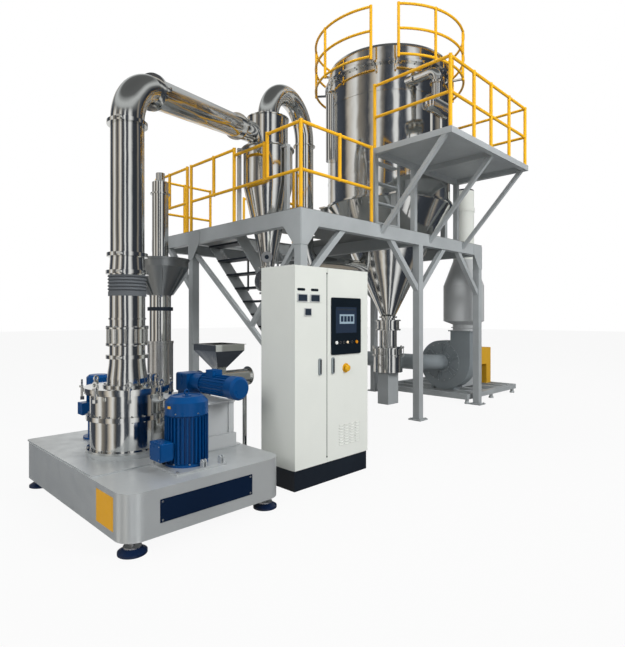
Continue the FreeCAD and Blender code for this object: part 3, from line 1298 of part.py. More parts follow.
def make_upper_handrails():
    """Straight rails round the upper deck and the round rail of the filter's cover."""
    name = "upper_handrails"
    top = UP_Z + UP_RAIL_H
    mid = UP_Z + UP_RAIL_H / 2
    cap = RAIL_R + 3
    start = V(UP_X0, UP_Y0, 0)
    width = UP_X1 - UP_X0
    depth = UP_Y1 - UP_Y0
    posts = [(s, UP_Z, top + cap) for s in (0, 654, 1187, 1816, width)]
    railing(name, start, V(1, 0, 0), posts, [(0, width, top), (0, width, mid)])
    for x in (UP_X0, UP_X1):
        railing(name, V(x, UP_Y0, 0), V(0, 1, 0), [(depth, UP_Z, top + cap)],
                [(POST_R, depth, top), (POST_R, depth, mid)])
    for angle in RING_POSTS:
        x = FIL_X + RING_R * math.cos(math.radians(angle))
        y = FIL_Y + RING_R * math.sin(math.radians(angle))
        add(name, cyl(POST_R, x, y, RING_Z - 50, RING_RAIL_Z))
        arm = box(FIL_X + FIL_R + 2, FIL_X + RING_R - POST_R - 0.5, FIL_Y - 20, FIL_Y + 20,
                  FIL_Z1 - 70, FIL_Z1 - 40)
        add(name, spun(arm, FIL_X, FIL_Y, angle))
    for i, angle in enumerate(RING_POSTS[:-1]):
        trim = math.degrees((POST_R + 0.2) / RING_R)
        span = RING_POSTS[i + 1] - angle - 2 * trim
        turn = math.radians(angle + trim)
        for z in (RING_RAIL_Z - RAIL_R, (RING_Z + RING_RAIL_Z) / 2, RING_Z):
            p = V(FIL_X + RING_R * math.cos(turn), FIL_Y + RING_R * math.sin(turn), z)
            heading = V(-math.sin(turn), math.cos(turn), 0)
            add(name, bend(RAIL_R, p, heading, V(FIL_X, FIL_Y, z), span))


def make_cyclone():
    """Cone, barrel and inlet head, with flanges and the sight port on the cone."""
    x, y = CYC_X, CYC_Y
    w = WALL
    line = [(CYC_CONE_R, CYC_CONE_Z), (CYC_R, CYC_BARREL_Z), (CYC_R, CYC_TOP_Z - 12),
            (CYC_R + 28, CYC_TOP_Z - 12), (CYC_R + 28, CYC_TOP_Z), (OUT_R + 4, CYC_TOP_Z), (OUT_R + 4, CYC_TOP_Z - w),
            (CYC_R - w, CYC_TOP_Z - w - 8), (CYC_R - w, CYC_BARREL_Z), (CYC_CONE_R - w, CYC_CONE_Z)]
    body = turned(line, x, y)
    foot = ring(CYC_CONE_R + 50, CYC_CONE_R, x, y, CYC_CONE_Z, CYC_CONE_Z + 14)
    port_z = PORT_Z
    port_r = cyclone_radius(port_z)
    turn = math.radians(PORT_ANGLE)
    out = V(math.cos(turn), math.sin(turn), 0)
    centre = V(x, y, port_z)
    port = rod(centre + out * (port_r - 60), centre + out * (port_r + 60), 62)
    rim = rod(centre + out * (port_r + 44), centre + out * (port_r + 60), 82)
    eye = rod(centre, centre + out * (port_r + 60), 54)
    room = turned([(0, CYC_CONE_Z), (CYC_CONE_R - w, CYC_CONE_Z), (CYC_R - w, CYC_BARREL_Z), (0, CYC_BARREL_Z)], x, y)
    add("cyclone_body", fuse([body, foot.cut(body), port, rim]).cut(room).cut(eye))
    add("cyclone_body", rod(centre + out * (port_r + 48), centre + out * (port_r + 58), 54))
    head = turned([(HEAD_R, CYC_TOP_Z), (HEAD_R, HEAD_TOP_Z - 12), (HEAD_R + 20, HEAD_TOP_Z - 12),
                   (HEAD_R + 20, HEAD_TOP_Z), (OUT_R, HEAD_TOP_Z), (OUT_R, HEAD_TOP_Z - w),
                   (HEAD_R - w, HEAD_TOP_Z - w - 8), (HEAD_R - w, CYC_TOP_Z)], x, y)
    start, centre, leave, heading, end = duct_points()
    inlet = rod(end, end + heading * INLET_LEN, DUCT_R)
    mouth = rod(end - heading, end + heading * INLET_LEN, DUCT_R - w)
    hollow = turned([(0, CYC_TOP_Z), (HEAD_R - w, CYC_TOP_Z), (HEAD_R - w, HEAD_TOP_Z - w - 8), (0, HEAD_TOP_Z - w - 8)],
                    x, y)
    skin = head.fuse(inlet.cut(hollow)).cut(mouth.cut(cyl(OUT_R, x, y, CYC_TOP_Z, HEAD_TOP_Z)))
    add("cyclone_body", keep_main(skin))
    for i in range(3):
        leg = box(x + CYC_R, x + CYC_R + 90, y - 40, y + 40, CYC_TOP_Z - 52, CYC_TOP_Z - 12)
        add("cyclone_body", spun(leg, x, y, 30 + i * 120))
        strut = box(x + CYC_R + 30, x + CYC_R + 90, y - 30, y + 30, DECK_Z, CYC_TOP_Z - 52)
        add("cyclone_body", spun(strut, x, y, 30 + i * 120))


def make_air_ducts():
    """Outlet bend of the cyclone, its downcomer to the filter, and the clean-air duct to the fan."""
    name = "air_ducts"
    w = WALL
    z0 = HEAD_TOP_Z
    z1 = OUT_BEND_Z
    add(name, ring(OUT_R, OUT_R - w, CYC_X, CYC_Y, CYC_TOP_Z - 250, z1))
    add(name, ring(OUT_R + 34, OUT_R, CYC_X, CYC_Y, z0, z0 + 16))
    flat = V(DOWN_X - CYC_X, DOWN_Y - CYC_Y, 0)
    span = flat.Length
    flat.normalize()
    r = span / 2
    start = V(CYC_X, CYC_Y, z1)
    add(name, hollow_bend(OUT_R, w, start, UP, start + flat * r, 180))
    add(name, ring(OUT_R, OUT_R - w, DOWN_X, DOWN_Y, DOWN_BEND_Z, z1))
    add(name, ring(OUT_R + 30, OUT_R, DOWN_X, DOWN_Y, z1 - 90, z1 - 76))
    low = V(DOWN_X, DOWN_Y, DOWN_BEND_Z)
    add(name, hollow_bend(OUT_R, w, low, V(0, 0, -1), low + V(BEND_R, 0, 0), 90))
    p = low + V(BEND_R, 0, -BEND_R)
    q = V(FIL_X, DOWN_Y, p.z)
    cone = hopper_solid(0)
    add(name, keep_first_x(hollow_rod(p, q, OUT_R, w).cut(cone)))
    make_clean_duct(name)


def keep_first_x(shape):
    return min(shape.Solids, key=lambda s: s.CenterOfMass.x)


def hopper_solid(inset_by):
    return turned([(0, FIL_CONE_Z), (FIL_CONE_R - inset_by, FIL_CONE_Z), (FIL_R - inset_by, FIL_Z0), (0, FIL_Z0)],
                  FIL_X, FIL_Y)


def make_clean_duct(name):
    """From the cover's side down behind the filter and along the floor to the fan's inlet elbow."""
    w = WALL
    b = CLEAN_BEND
    top = V(CLEAN_X, CLEAN_Y, CLEAN_Z - b)
    low = V(CLEAN_X, CLEAN_Y, FAN_Z + b)
    inward = V(FIL_X - CLEAN_X, FIL_Y - CLEAN_Y, 0)
    inward.normalize()
    add(name, ring(CLEAN_R, CLEAN_R - w, CLEAN_X, CLEAN_Y, low.z, top.z))
    add(name, hollow_bend(CLEAN_R, w, top, UP, top + inward * b, 90))
    p = top + inward * b + UP * b
    run = hollow_rod(p, V(FIL_X, FIL_Y, CLEAN_Z), CLEAN_R, w)
    add(name, keep_far(run.cut(cyl(FIL_R, FIL_X, FIL_Y, CLEAN_Z - 400, CLEAN_Z + 400))))
    add(name, hollow_bend(CLEAN_R, w, low, V(0, 0, -1), low - V(0, b, 0), 90))
    q = V(CLEAN_X, CLEAN_Y - b, FAN_Z)
    elbow_y = FAN_Y + b
    add(name, hollow_rod(V(CLEAN_X, elbow_y, FAN_Z), q, CLEAN_R, w))
    start = V(CLEAN_X + b, FAN_Y, FAN_Z)
    add(name, hollow_bend(CLEAN_R, w, start, V(-1, 0, 0), start + V(0, b, 0), 90))
    collar = V(FAN_X - SCROLL_W / 2, FAN_Y, FAN_Z)
    add(name, hollow_rod(start, collar, CLEAN_R, w))
    for z in CLEAN_FLANGES:
        add(name, ring(CLEAN_R + 26, CLEAN_R, CLEAN_X, CLEAN_Y, z, z + 14))


def keep_far(shape):
    return max(shape.Solids, key=lambda s: s.CenterOfMass.y)


def make_valve(name, x, y, z, z_top, z_low, reach=0, turn=0):
    """Rotary valve, turned by turn from X: housing with necks, end plates, and a small gearmotor at reach."""
    outer = VALVE_BORE + 12
    half = VALVE_HALF
    axis = V(1, 0, 0)
    a = V(x - half, y, z)
    barrel = Part.makeCylinder(outer, 2 * half, a, axis)
    plates = [Part.makeCylinder(outer + 22, 16, V(px, y, z), axis) for px in (x - half - 16, x + half)]
    neck = cyl(92, x, y, z_low, z_top)
    rims = [cyl(130, x, y, z_top - 14, z_top), cyl(130, x, y, z_low, z_low + 14)]
    bore = Part.makeCylinder(VALVE_BORE, 2 * half, a, axis)
    way = cyl(86, x, y, z_low - 1, z_top + 1)
    spindle = Part.makeCylinder(VALVE_SHAFT_R + RUN, 2 * half + 80, a - V(40, 0, 0), axis)
    housing = fuse([barrel, neck] + plates + rims).cut(bore.multiFuse([way, spindle]))
    face = x + half + 16 + reach
    gear = box(face, face + 114, y - 62, y + 62, z - 72, z + 72)
    blind = Part.makeCylinder(VALVE_SHAFT_R + RUN, 54 + 6, V(face - 6, y, z), axis)
    drive = rod(V(face + 114, y, z), V(face + 314, y, z), 62)
    cowl = rod(V(face + 314, y, z), V(face + 384, y, z), 68)
    motor = fuse([gear, drive, cowl]).cut(blind)
    add(name, spun(housing, x, y, turn), spun(motor, x, y, turn))
    hub = Part.makeCylinder(30, 2 * half - 4, V(x - half + 2, y, z), axis)
    vane = box(x - half + 3, x + half - 3, y - 3, y + 3, z + 26, z + VALVE_BORE - FREE)
    vanes = []
    for i in range(VALVE_VANES):
        blade = vane.copy()
        blade.rotate(V(x, y, z), axis, i * 360.0 / VALVE_VANES)
        vanes.append(blade)
    shaft = Part.makeCylinder(VALVE_SHAFT_R, 2 * half + 75 + reach, V(x - half - 15, y, z), axis)
    add(name + "_rotor", spun(hub.multiFuse(vanes + [shaft]).removeSplitter(), x, y, turn))


def make_cyclone_discharge():
    """Rotary valve and product spout under the cyclone."""
    top = CYC_VALVE_Z - 180
    make_valve("cyclone_valve", CYC_X, CYC_Y, CYC_VALVE_Z, CYC_CONE_Z, top)
    r = SPOUT_R
    seat = SPOUT_Z + SPOUT_SEAT
    line = [(130, top - 14), (130, top), (86, top), (86, top - 250), (r - WALL, top - 420), (r - WALL, SPOUT_Z),
            (r, SPOUT_Z), (r, seat), (r + 14, seat), (r + 14, seat + 20), (r + 2, seat + 20),
            (r + 2, top - 424), (90, top - 252), (90, top - 14)]
    add("cyclone_valve", turned(line, CYC_X, CYC_Y))


def make_filter_discharge():
    """Flanged spools under the filter's cone, and the round case with the rotary valve over the receiver."""
    x, y = FIL_X, FIL_Y
    name = "filter_valve"
    t = SPOOL_RIM_T
    rim = SPOOL_RIM
    upper, lower, bore = SPOOL_UP_R, SPOOL_LOW_R, SPOOL_BORE
    base = VALVE_CASE_Z1
    line = [(bore, FIL_CONE_Z), (FIL_CONE_R + 44, FIL_CONE_Z), (FIL_CONE_R + 44, FIL_CONE_Z - 16),
            (FIL_CONE_R + 4, FIL_CONE_Z - 16), (FIL_CONE_R + 4, SPOOL_UP_Z1),
            (upper + rim, SPOOL_UP_Z1), (upper + rim, SPOOL_UP_Z1 - t), (upper, SPOOL_UP_Z1 - t),
            (upper, SPOOL_UP_Z0 + t), (upper + rim, SPOOL_UP_Z0 + t), (upper + rim, SPOOL_UP_Z0),
            (SPOOL_R, SPOOL_UP_Z0), (SPOOL_R, SPOOL_LOW_Z1), (lower + rim, SPOOL_LOW_Z1),
            (lower + rim, SPOOL_LOW_Z1 - t), (lower, SPOOL_LOW_Z1 - t), (lower, base + t),
            (lower + rim, base + t), (lower + rim, base), (bore, base)]
    add(name, turned(line, x, y))
    r = lower + rim
    clamp = fuse([cyl(12, x + r, y, base - 26, SPOOL_LOW_Z1 + 30), cyl(22, x + r, y, SPOOL_LOW_Z1, SPOOL_LOW_Z1 + 16),
                  cyl(22, x + r, y, base - 16, base)])
    clamp = clamp.cut(cyl(r, x, y, base, SPOOL_LOW_Z1)).cut(cyl(VALVE_CASE_R, x, y, VALVE_CASE_Z0, base))
    add(name, *around(keep_main(clamp), x, y, SPOOL_CLAMPS, 180.0 / SPOOL_CLAMPS))
    make_valve(name, x, y, FIL_VALVE_Z, base, VALVE_CASE_Z0, VALVE_CASE_R - VALVE_HALF - 14, FIL_VALVE_TURN)
    w = VALVE_CASE_T
    neck = 130 + FREE
    case = cyl(VALVE_CASE_R, x, y, VALVE_CASE_Z0, base).cut(cyl(VALVE_CASE_R - w, x, y, VALVE_CASE_Z0 + w, base - w))
    case = case.cut(cyl(neck, x, y, VALVE_CASE_Z0 - 1, base + 1))
    shaft_way = spun(rod(V(x, y, FIL_VALVE_Z), V(x + VALVE_CASE_R + 9, y, FIL_VALVE_Z), VALVE_SHAFT_R + 8),
                     x, y, FIL_VALVE_TURN)
    add(name, case.cut(shaft_way))
    wide, deep, w = RECEIVER_W / 2, RECEIVER_D / 2, RECEIVER_WALL
    bin_shell = box(x - wide, x + wide, y - deep, y + deep, 0, VALVE_CASE_Z0)
    room = box(x - wide + w, x + wide - w, y - deep + w, y + deep - w, w, VALVE_CASE_Z0 - w)
    add(name, bin_shell.cut(room).cut(cyl(86, x, y, w, VALVE_CASE_Z0 + 1)))


def make_filter():
    """Body on its bearing ring, hopper, cover, tube sheet with bags, and the pulse-air vessel."""
    x, y, r, w = FIL_X, FIL_Y, FIL_R, 6
    shell = ring(r, r - w, x, y, FIL_Z0, FIL_Z1 - 20)
    bearing = ring(r + 50, r, x, y, FIL_Z0, FIL_Z0 + 30)
    rim = ring(r + 60, r, x, y, FIL_Z1 - 40, FIL_Z1 - 20)
    band = ring(r + 14, r, x, y, SHEET_Z - 10, SHEET_Z + 26)
    seam = ring(r + 5, r, x, y, SEAM_Z, SEAM_Z + 20)
    leaf = side_duct(x, y, r)
    aside = V(CLEAN_X - FIL_X, CLEAN_Y - FIL_Y, 0)
    way = cyl(CLEAN_R, 0, 0, 0, CLEAN_WAY)
    way.rotate(V(0, 0, 0), V(0, 1, 0), 90)
    way.rotate(V(0, 0, 0), UP, math.degrees(math.atan2(aside.y, aside.x)))
    way.translate(V(FIL_X, FIL_Y, CLEAN_Z) + aside * ((r - CLEAN_WAY / 2) / aside.Length))
    for lx, ly in filter_legs():
        lug_box = box(lx - 70, lx + 70, ly - 70, ly + 70, FIL_Z0, FIL_Z0 + 30)
        bearing = bearing.fuse(lug_box.cut(cyl(r, x, y, FIL_Z0 - 1, FIL_Z0 + 31)))
    body = keep_main(fuse([shell, bearing, rim, band, seam]).cut(way))
    add("filter_body", body, keep_main(leaf.cut(band)))
    hopper = turned([(FIL_CONE_R, FIL_CONE_Z), (r, FIL_Z0), (r - w, FIL_Z0), (FIL_CONE_R - 4, FIL_CONE_Z)], x, y)
    low_rim = ring(FIL_CONE_R + 44, FIL_CONE_R + 1, x, y, FIL_CONE_Z, FIL_CONE_Z + 16)
    p = V(DOWN_X, DOWN_Y, DOWN_BEND_Z - BEND_R)
    entry = rod(p, V(FIL_X, DOWN_Y, p.z), OUT_R - WALL)
    add("filter_hopper", keep_main(hopper.fuse(low_rim).cut(entry)))
    cover = turned([(r + 60, FIL_Z1 - 20), (r + 60, FIL_Z1), (r, FIL_Z1), (r, FIL_TOP - 110), (r - 40, FIL_TOP - 50),
                    (r - 160, FIL_TOP), (0, FIL_TOP), (0, FIL_TOP - w), (r - 162, FIL_TOP - w),
                    (r - 44, FIL_TOP - 54), (r - w, FIL_TOP - 114), (r - w, FIL_Z1 - 20)], x, y)
    add("filter_cover", cover)
    sheet = cyl(r - w - 0.5, x, y, SHEET_Z, SHEET_Z + 12)
    foot = SHEET_Z - BAG_LEN
    sock = [(BAG_R - BAG_T, SHEET_Z), (BAG_R, SHEET_Z), (BAG_R, foot), (0, foot), (0, foot + BAG_T),
            (BAG_R - BAG_T, foot + BAG_T)]
    bags = []
    holes = []
    for ix in range(-3, 4):
        for iy in range(-3, 4):
            bx = x + ix * BAG_PITCH
            by = y + iy * BAG_PITCH
            if math.hypot(bx - x, by - y) < r - 200:
                bags.append(turned(sock, bx, by))
                holes.append(cyl(BAG_R - 12, bx, by, SHEET_Z - 1, SHEET_Z + 13))
    add("filter_bags", sheet.cut(Part.makeCompound(holes)), *bags)


def side_duct(x, y, r):
    """Half-round duct with an arched top up the filter's left side."""
    px, py = x - r, y
    low, high = SIDE_DUCT_Z0, SIDE_DUCT_Z1
    trunk = cyl(SIDE_DUCT_R, px, py, low, high)
    dome = Part.makeSphere(SIDE_DUCT_R, V(px, py, high))
    leaf = trunk.fuse(dome).cut(cyl(r, x, y, low - 300, high + 400))
    leaf.rotate(V(x, y, 0), UP, SIDE_DUCT_ANGLE - 180)
    return keep_main(leaf)


def make_pulse_air():
    """Pulse-air vessel on the upper deck with its elbow and clamp collar into the filter."""
    z = PULSE_Z
    x = PULSE_X
    y = PULSE_Y
    name = "pulse_air_vessel"
    legs = [box(x + dx - 20, x + dx + 20, y - 20, y + 20, UP_Z, z - PULSE_R + 30) for dx in (-150, 150)]
    tank = rod(V(x - 260, y, z), V(x + 260, y, z), PULSE_R)
    ends = [Part.makeSphere(PULSE_R * 1.25, V(x + s * (260 - PULSE_R * 0.75), y, z)) for s in (-1, 1)]
    caps = [e.common(rod(V(x - 420, y, z), V(x + 420, y, z), PULSE_R)) for e in ends]
    body = fuse([tank] + caps)
    add(name, body, *[leg.cut(body) for leg in legs])
    start = V(x, y, z + PULSE_R - 20)
    riser = cyl(PIPE_R, x, y, z + PULSE_R - 20, PULSE_TOP).cut(body)
    b = PIPE_R + 60
    top = V(x, y, PULSE_TOP)
    turn = bend(PIPE_R, top, UP, top + V(0, b, 0), 90)
    reach = rod(V(x, y + b, PULSE_TOP + b), V(x, FIL_Y, PULSE_TOP + b), PIPE_R)
    reach = reach.cut(cyl(FIL_R, FIL_X, FIL_Y, FIL_Z0, FIL_Z1))
    add(name, keep_main(riser), turn, min(reach.Solids, key=lambda s: s.CenterOfMass.y))
    collar_r = PIPE_R + 32
    wall_y = FIL_Y - math.sqrt(FIL_R ** 2 - (FIL_X - x - collar_r) ** 2)
    p = V(x, wall_y - 34, PULSE_TOP + b)
    add(name, rod(p, p + V(0, 18, 0), collar_r).cut(rod(p - V(0, 1, 0), p + V(0, 19, 0), PIPE_R)))
    add(name, clamp_collar(PIPE_R, V(x, y, PULSE_TOP - 60), UP))


def scroll_face(shrink, x):
    """Spiral outline of the fan's scroll with its outlet going up, at station x."""
    def at(dy, dz):
        return V(x, FAN_Y + dy, FAN_Z + dz)
    s = shrink
    top, right, low, left = SCROLL_STEPS
    lip = OUTLET_HALF_IN
    edges = [Part.Arc(at(-lip - s, 0.93 * top - s), at(-lip / 2, top * 0.99 - s), at(0, top - s)).toShape(),
             Part.Arc(at(0, top - s), at(0.664 * (top + right) / 1.88 - s * 0.7, 0.664 * (top + right) / 1.88 - s * 0.7),
                      at(right - s, 0)).toShape(),
             Part.Arc(at(right - s, 0), at((right + low) * 0.354 - s * 0.7, -(right + low) * 0.354 + s * 0.7),
                      at(0, -low + s)).toShape(),
             Part.Arc(at(0, -low + s), at(-(low + left) * 0.354 + s * 0.7, -(low + left) * 0.354 + s * 0.7),
                      at(-left + s, 0)).toShape(),
             Part.makeLine(at(-left + s, 0), at(-left + s, SCROLL_UP)),
             Part.makeLine(at(-left + s, SCROLL_UP), at(-lip - s, SCROLL_UP)),
             Part.makeLine(at(-lip - s, SCROLL_UP), at(-lip - s, 0.93 * top - s))]
    return Part.Face(Part.Wire(edges))


def make_fan_housing():
    """Scroll with outer ring, radial ribs, inlet hole and outlet flange."""
    x0 = FAN_X - SCROLL_W / 2
    x1 = FAN_X + SCROLL_W / 2
    skin = scroll_face(0, x0).extrude(V(SCROLL_W, 0, 0))
    room = scroll_face(6, x0 + 6).extrude(V(SCROLL_W - 12, 0, 0))
    mouth = rod(V(x0 - 60, FAN_Y, FAN_Z), V(FAN_X, FAN_Y, FAN_Z), CLEAN_R + FREE)
    shaft_way = rod(V(FAN_X, FAN_Y, FAN_Z), V(x1 + 20, FAN_Y, FAN_Z), FAN_SHAFT_R + 6)
    face_ring = rod(V(x0 - 14, FAN_Y, FAN_Z), V(x0, FAN_Y, FAN_Z), 400)
    face_ring = face_ring.cut(rod(V(x0 - 15, FAN_Y, FAN_Z), V(x0 + 1, FAN_Y, FAN_Z), 372))
    hub_ring = rod(V(x0 - 30, FAN_Y, FAN_Z), V(x0, FAN_Y, FAN_Z), CLEAN_R + 60)
    ribs = []
    for i in range(6):
        rib = box(x0 - 26, x0, FAN_Y + CLEAN_R + 50, FAN_Y + 400, FAN_Z - 6, FAN_Z + 6)
        rib.rotate(V(0, FAN_Y, FAN_Z), V(1, 0, 0), 30 + i * 60)
        ribs.append(rib)
    z_top = FAN_Z + SCROLL_UP
    y_out = FAN_Y - (SCROLL_STEPS[3] + OUTLET_HALF_IN) / 2
    half = (SCROLL_STEPS[3] - OUTLET_HALF_IN) / 2
    rim = box(x0 - 35, x1 + 35, y_out - half - 35, y_out + half + 35, z_top - 12, z_top)
    rim = rim.cut(box(x0 + 6, x1 - 6, y_out - half + 6, y_out + half - 6, z_top - 20, z_top + 1))
    whole = fuse([skin, face_ring, hub_ring] + ribs)
    whole = whole.cut(room).cut(mouth).cut(shaft_way)
    throat = box(x0 + 6, x1 - 6, y_out - half + 6, y_out + half - 6, z_top - 40, z_top + 1)
    add("fan_housing", whole.fuse(rim).cut(throat))
    add("fan_housing", box(x0 + 20, x1 - 20, FAN_Y - 260, FAN_Y - 200, SKID_TOP, FAN_Z - 0.9 * SCROLL_STEPS[2]).cut(skin))
    add("fan_housing", box(x0 + 20, x1 - 20, FAN_Y + 200, FAN_Y + 260, SKID_TOP, FAN_Z - 0.7 * SCROLL_STEPS[2]).cut(skin))


def make_fan_stack():
    """Square-to-round piece, silencer with its cones, and the stack."""
    x0 = FAN_X - SCROLL_W / 2
    z0 = FAN_Z + SCROLL_UP
    y = FAN_Y - (SCROLL_STEPS[3] + OUTLET_HALF_IN) / 2
    half = (SCROLL_STEPS[3] - OUTLET_HALF_IN) / 2
    flange = box(x0 - 35, x0 + SCROLL_W + 35, y - half - 35, y + half + 35, z0, z0 + 12)
    flange = flange.cut(cyl(OUTLET_R - 30, FAN_X, y, z0 - 1, z0 + 13))
    add("fan_stack", flange)
    line = [(OUTLET_R, z0 + 12), (OUTLET_R, SILENCER_Z0 - 20), (SILENCER_R, SILENCER_Z0 + 50),
            (SILENCER_R, SILENCER_Z1), (STACK_R + 10, SILENCER_Z1 + SILENCER_TAPER - 40),
            (STACK_R, SILENCER_Z1 + SILENCER_TAPER),
            (STACK_R, STACK_TOP)]
    add("fan_stack", shell_of(line, 6, FAN_X, y))
    add("fan_stack", ring(OUTLET_R + 30, OUTLET_R, FAN_X, y, z0 + 60, z0 + 76))
    add("fan_stack", ring(STACK_R + 12, STACK_R, FAN_X, y, STACK_TOP - 420, STACK_TOP - 340))
    add("fan_stack", turned([(STACK_R + 2, STACK_TOP), (STACK_R - 10, STACK_TOP + 30), (0, STACK_TOP + 50),
                             (0, STACK_TOP + 44), (STACK_R - 14, STACK_TOP + 25), (STACK_R - 6, STACK_TOP)],
                            FAN_X, y))


def make_impeller():
    """Backplate, shroud ring and curved blades on the fan shaft, with its pulley."""
    x0 = FAN_X - SCROLL_W / 2
    x1 = FAN_X + SCROLL_W / 2
    axis = V(1, 0, 0)
    hub_x = x1 - 60
    back = Part.makeCylinder(IMPELLER_R, 8, V(hub_x, FAN_Y, FAN_Z), axis)
    boss = Part.makeCylinder(70, 60, V(hub_x - 52, FAN_Y, FAN_Z), axis)
    front = rod(V(x0 + 50, FAN_Y, FAN_Z), V(x0 + 58, FAN_Y, FAN_Z), IMPELLER_R)
    front = front.cut(rod(V(x0 + 40, FAN_Y, FAN_Z), V(x0 + 60, FAN_Y, FAN_Z), CLEAN_R + 20))
    blades = []
    for i in range(10):
        blade = box(x0 + 57, hub_x + 1, FAN_Y + 150, FAN_Y + IMPELLER_R - 4, FAN_Z - 4, FAN_Z + 4)
        blade.rotate(V(0, FAN_Y + IMPELLER_R, FAN_Z), axis, 24)
        blade.rotate(V(0, FAN_Y, FAN_Z), axis, i * 36)
        blades.append(blade)
    wheel = fuse([back, boss, front] + blades)
    shaft = Part.makeCylinder(FAN_SHAFT_R, FAN_PULLEY_X + 60 - hub_x + 40, V(hub_x - 40, FAN_Y, FAN_Z), axis)
    disc_bore = Part.makeCylinder(FAN_SHAFT_R, 200, V(hub_x - 40, FAN_Y, FAN_Z), axis)
    add("fan_impeller", wheel.cut(disc_bore), shaft)
    pulley = Part.makeCylinder(FAN_PULLEY_R, 70, V(FAN_PULLEY_X - 30, FAN_Y, FAN_Z), axis)
    add("fan_impeller", pulley.cut(Part.makeCylinder(FAN_SHAFT_R, 80, V(FAN_PULLEY_X - 35, FAN_Y, FAN_Z), axis)))


def make_fan_drive():
    """Motor with its pulley, belt guard, bearings, pedestal and skid with feet."""
    axis = V(1, 0, 0)
    mx0, mx1 = FAN_MOTOR_X0, FAN_MOTOR_X1
    y, z = MOTOR_SHAFT_Y, FAN_MOTOR_Z
    frame = Part.makeCylinder(FAN_MOTOR_R - 20, mx1 - mx0 - 130, V(mx0 + 130, y, z), axis)
    fins = []
    for i in range(18):
        fin = box(mx0 + 140, mx1 - 20, y + FAN_MOTOR_R - 24, y + FAN_MOTOR_R, z - 3, z + 3)
        fin.rotate(V(0, y, z), axis, 10 + i * 20)
        fins.append(fin)
    feet = box(mx0 + 170, mx1 - 40, y - 150, y + 150, SKID_TOP, z - FAN_MOTOR_R + 60)
    socket = Part.makeCylinder(MOTOR_SHAFT_R + RUN, 100, V(mx1 - 99, y, z), axis)
    add("fan_motor", fuse([frame, feet] + fins).cut(socket))
    cowl = Part.makeCylinder(FAN_MOTOR_R + 4, 130, V(mx0, y, z), axis)
    add("fan_motor", cowl)
    add("fan_motor_shaft", Part.makeCylinder(MOTOR_SHAFT_R, FAN_PULLEY_X + 50 - mx1 + 80, V(mx1 - 80, y, z), axis))
    pulley = Part.makeCylinder(FAN_MOTOR_PULLEY_R, 70, V(FAN_PULLEY_X - 30, y, z), axis)
    add("fan_motor_shaft", pulley.cut(Part.makeCylinder(MOTOR_SHAFT_R, 80, V(FAN_PULLEY_X - 35, y, z), axis)))
    gx0, gx1 = FAN_PULLEY_X - 100, FAN_PULLEY_X + 110
    guard = box(gx0, gx1, FAN_Y - 230, y + 130, SKID_TOP, FAN_Z + 240)
    nose = box(gx0 - 260, gx0, FAN_Y - 230, FAN_Y + 320, FAN_Z - 130, FAN_Z + 240)
    hollow = box(gx0 + 5, gx1 - 5, FAN_Y - 225, y + 125, SKID_TOP - 1, FAN_Z + 235)
    nose_room = box(gx0 - 255, gx0 + 6, FAN_Y - 225, FAN_Y + 315, FAN_Z - 125, FAN_Z + 235)
    shaft_way = Part.makeCylinder(FAN_SHAFT_R + 8, 100, V(gx0 - 300, FAN_Y, FAN_Z), axis)
    motor_way = Part.makeCylinder(MOTOR_SHAFT_R + 8, 100, V(gx0 - 50, y, z), axis)
    add("fan_guard", fuse([guard, nose]).cut(hollow.fuse(nose_room)).cut(shaft_way).cut(motor_way))
    top_z = FAN_Z - 75
    deep = FAN_TABLE_D / 2
    w = FAN_TABLE_WALL
    table = box(FAN_TABLE_X0, FAN_TABLE_X1, FAN_Y - deep, FAN_Y + deep, SKID_TOP, top_z)
    table = table.cut(box(FAN_TABLE_X0 + w, FAN_TABLE_X1 - w, FAN_Y - deep + w, FAN_Y + deep - w,
                          SKID_TOP - 1, top_z - w))
    add("fan_skid", table)
    for bx in BEARING_X:
        block = box(bx - 35, bx + 35, FAN_Y - 110, FAN_Y + 110, top_z, top_z + 30)
        crown = Part.makeCylinder(72, 70, V(bx - 35, FAN_Y, FAN_Z), axis)
        bore = Part.makeCylinder(FAN_SHAFT_R + RUN, 80, V(bx - 40, FAN_Y, FAN_Z), axis)
        add("fan_skid", fuse([block, crown]).cut(bore))
    x0, x1, y0, y1 = SKID_X0, SKID_X1, SKID_Y0, SKID_Y1
    z1 = SKID_TOP
    z0 = z1 - SKID_BEAM
    b = SKID_BEAM
    add("fan_skid", box(x0, x1, y0, y0 + b, z0, z1), box(x0, x1, y1 - b, y1, z0, z1),
        box(x0, x0 + b, y0 + b, y1 - b, z0, z1), box(x1 - b, x1, y0 + b, y1 - b, z0, z1))
    for cx in CROSS_X:
        add("fan_skid", box(cx, cx + b, y0 + b, y1 - b, z0, z1))
    for fx in (x0 + 90, (x0 + x1) / 2, x1 - 90):
        for fy in (y0 + b / 2, y1 - b / 2):
            add("fan_skid", turned([(0, 0), (50, 0), (50, 20), (36, 45), (36, z0), (0, z0)], fx, fy))
    for i in range(2):
        add("drive_belts", fan_belt(FAN_PULLEY_X - 24 + i * 32))


def fan_belt(x):
    """Belt between the fan's pulley and its motor's pulley, in the plane at x."""
    shape = belt(0, 0, FAN_PULLEY_R + FREE, FAN_Z - FAN_MOTOR_Z, MOTOR_SHAFT_Y - FAN_Y,
                 FAN_MOTOR_PULLEY_R + FREE, 0, 22, 8)
    shape.rotate(V(0, 0, 0), V(0, 1, 0), 90)
    shape.translate(V(x, FAN_Y, FAN_Z))
    return shape


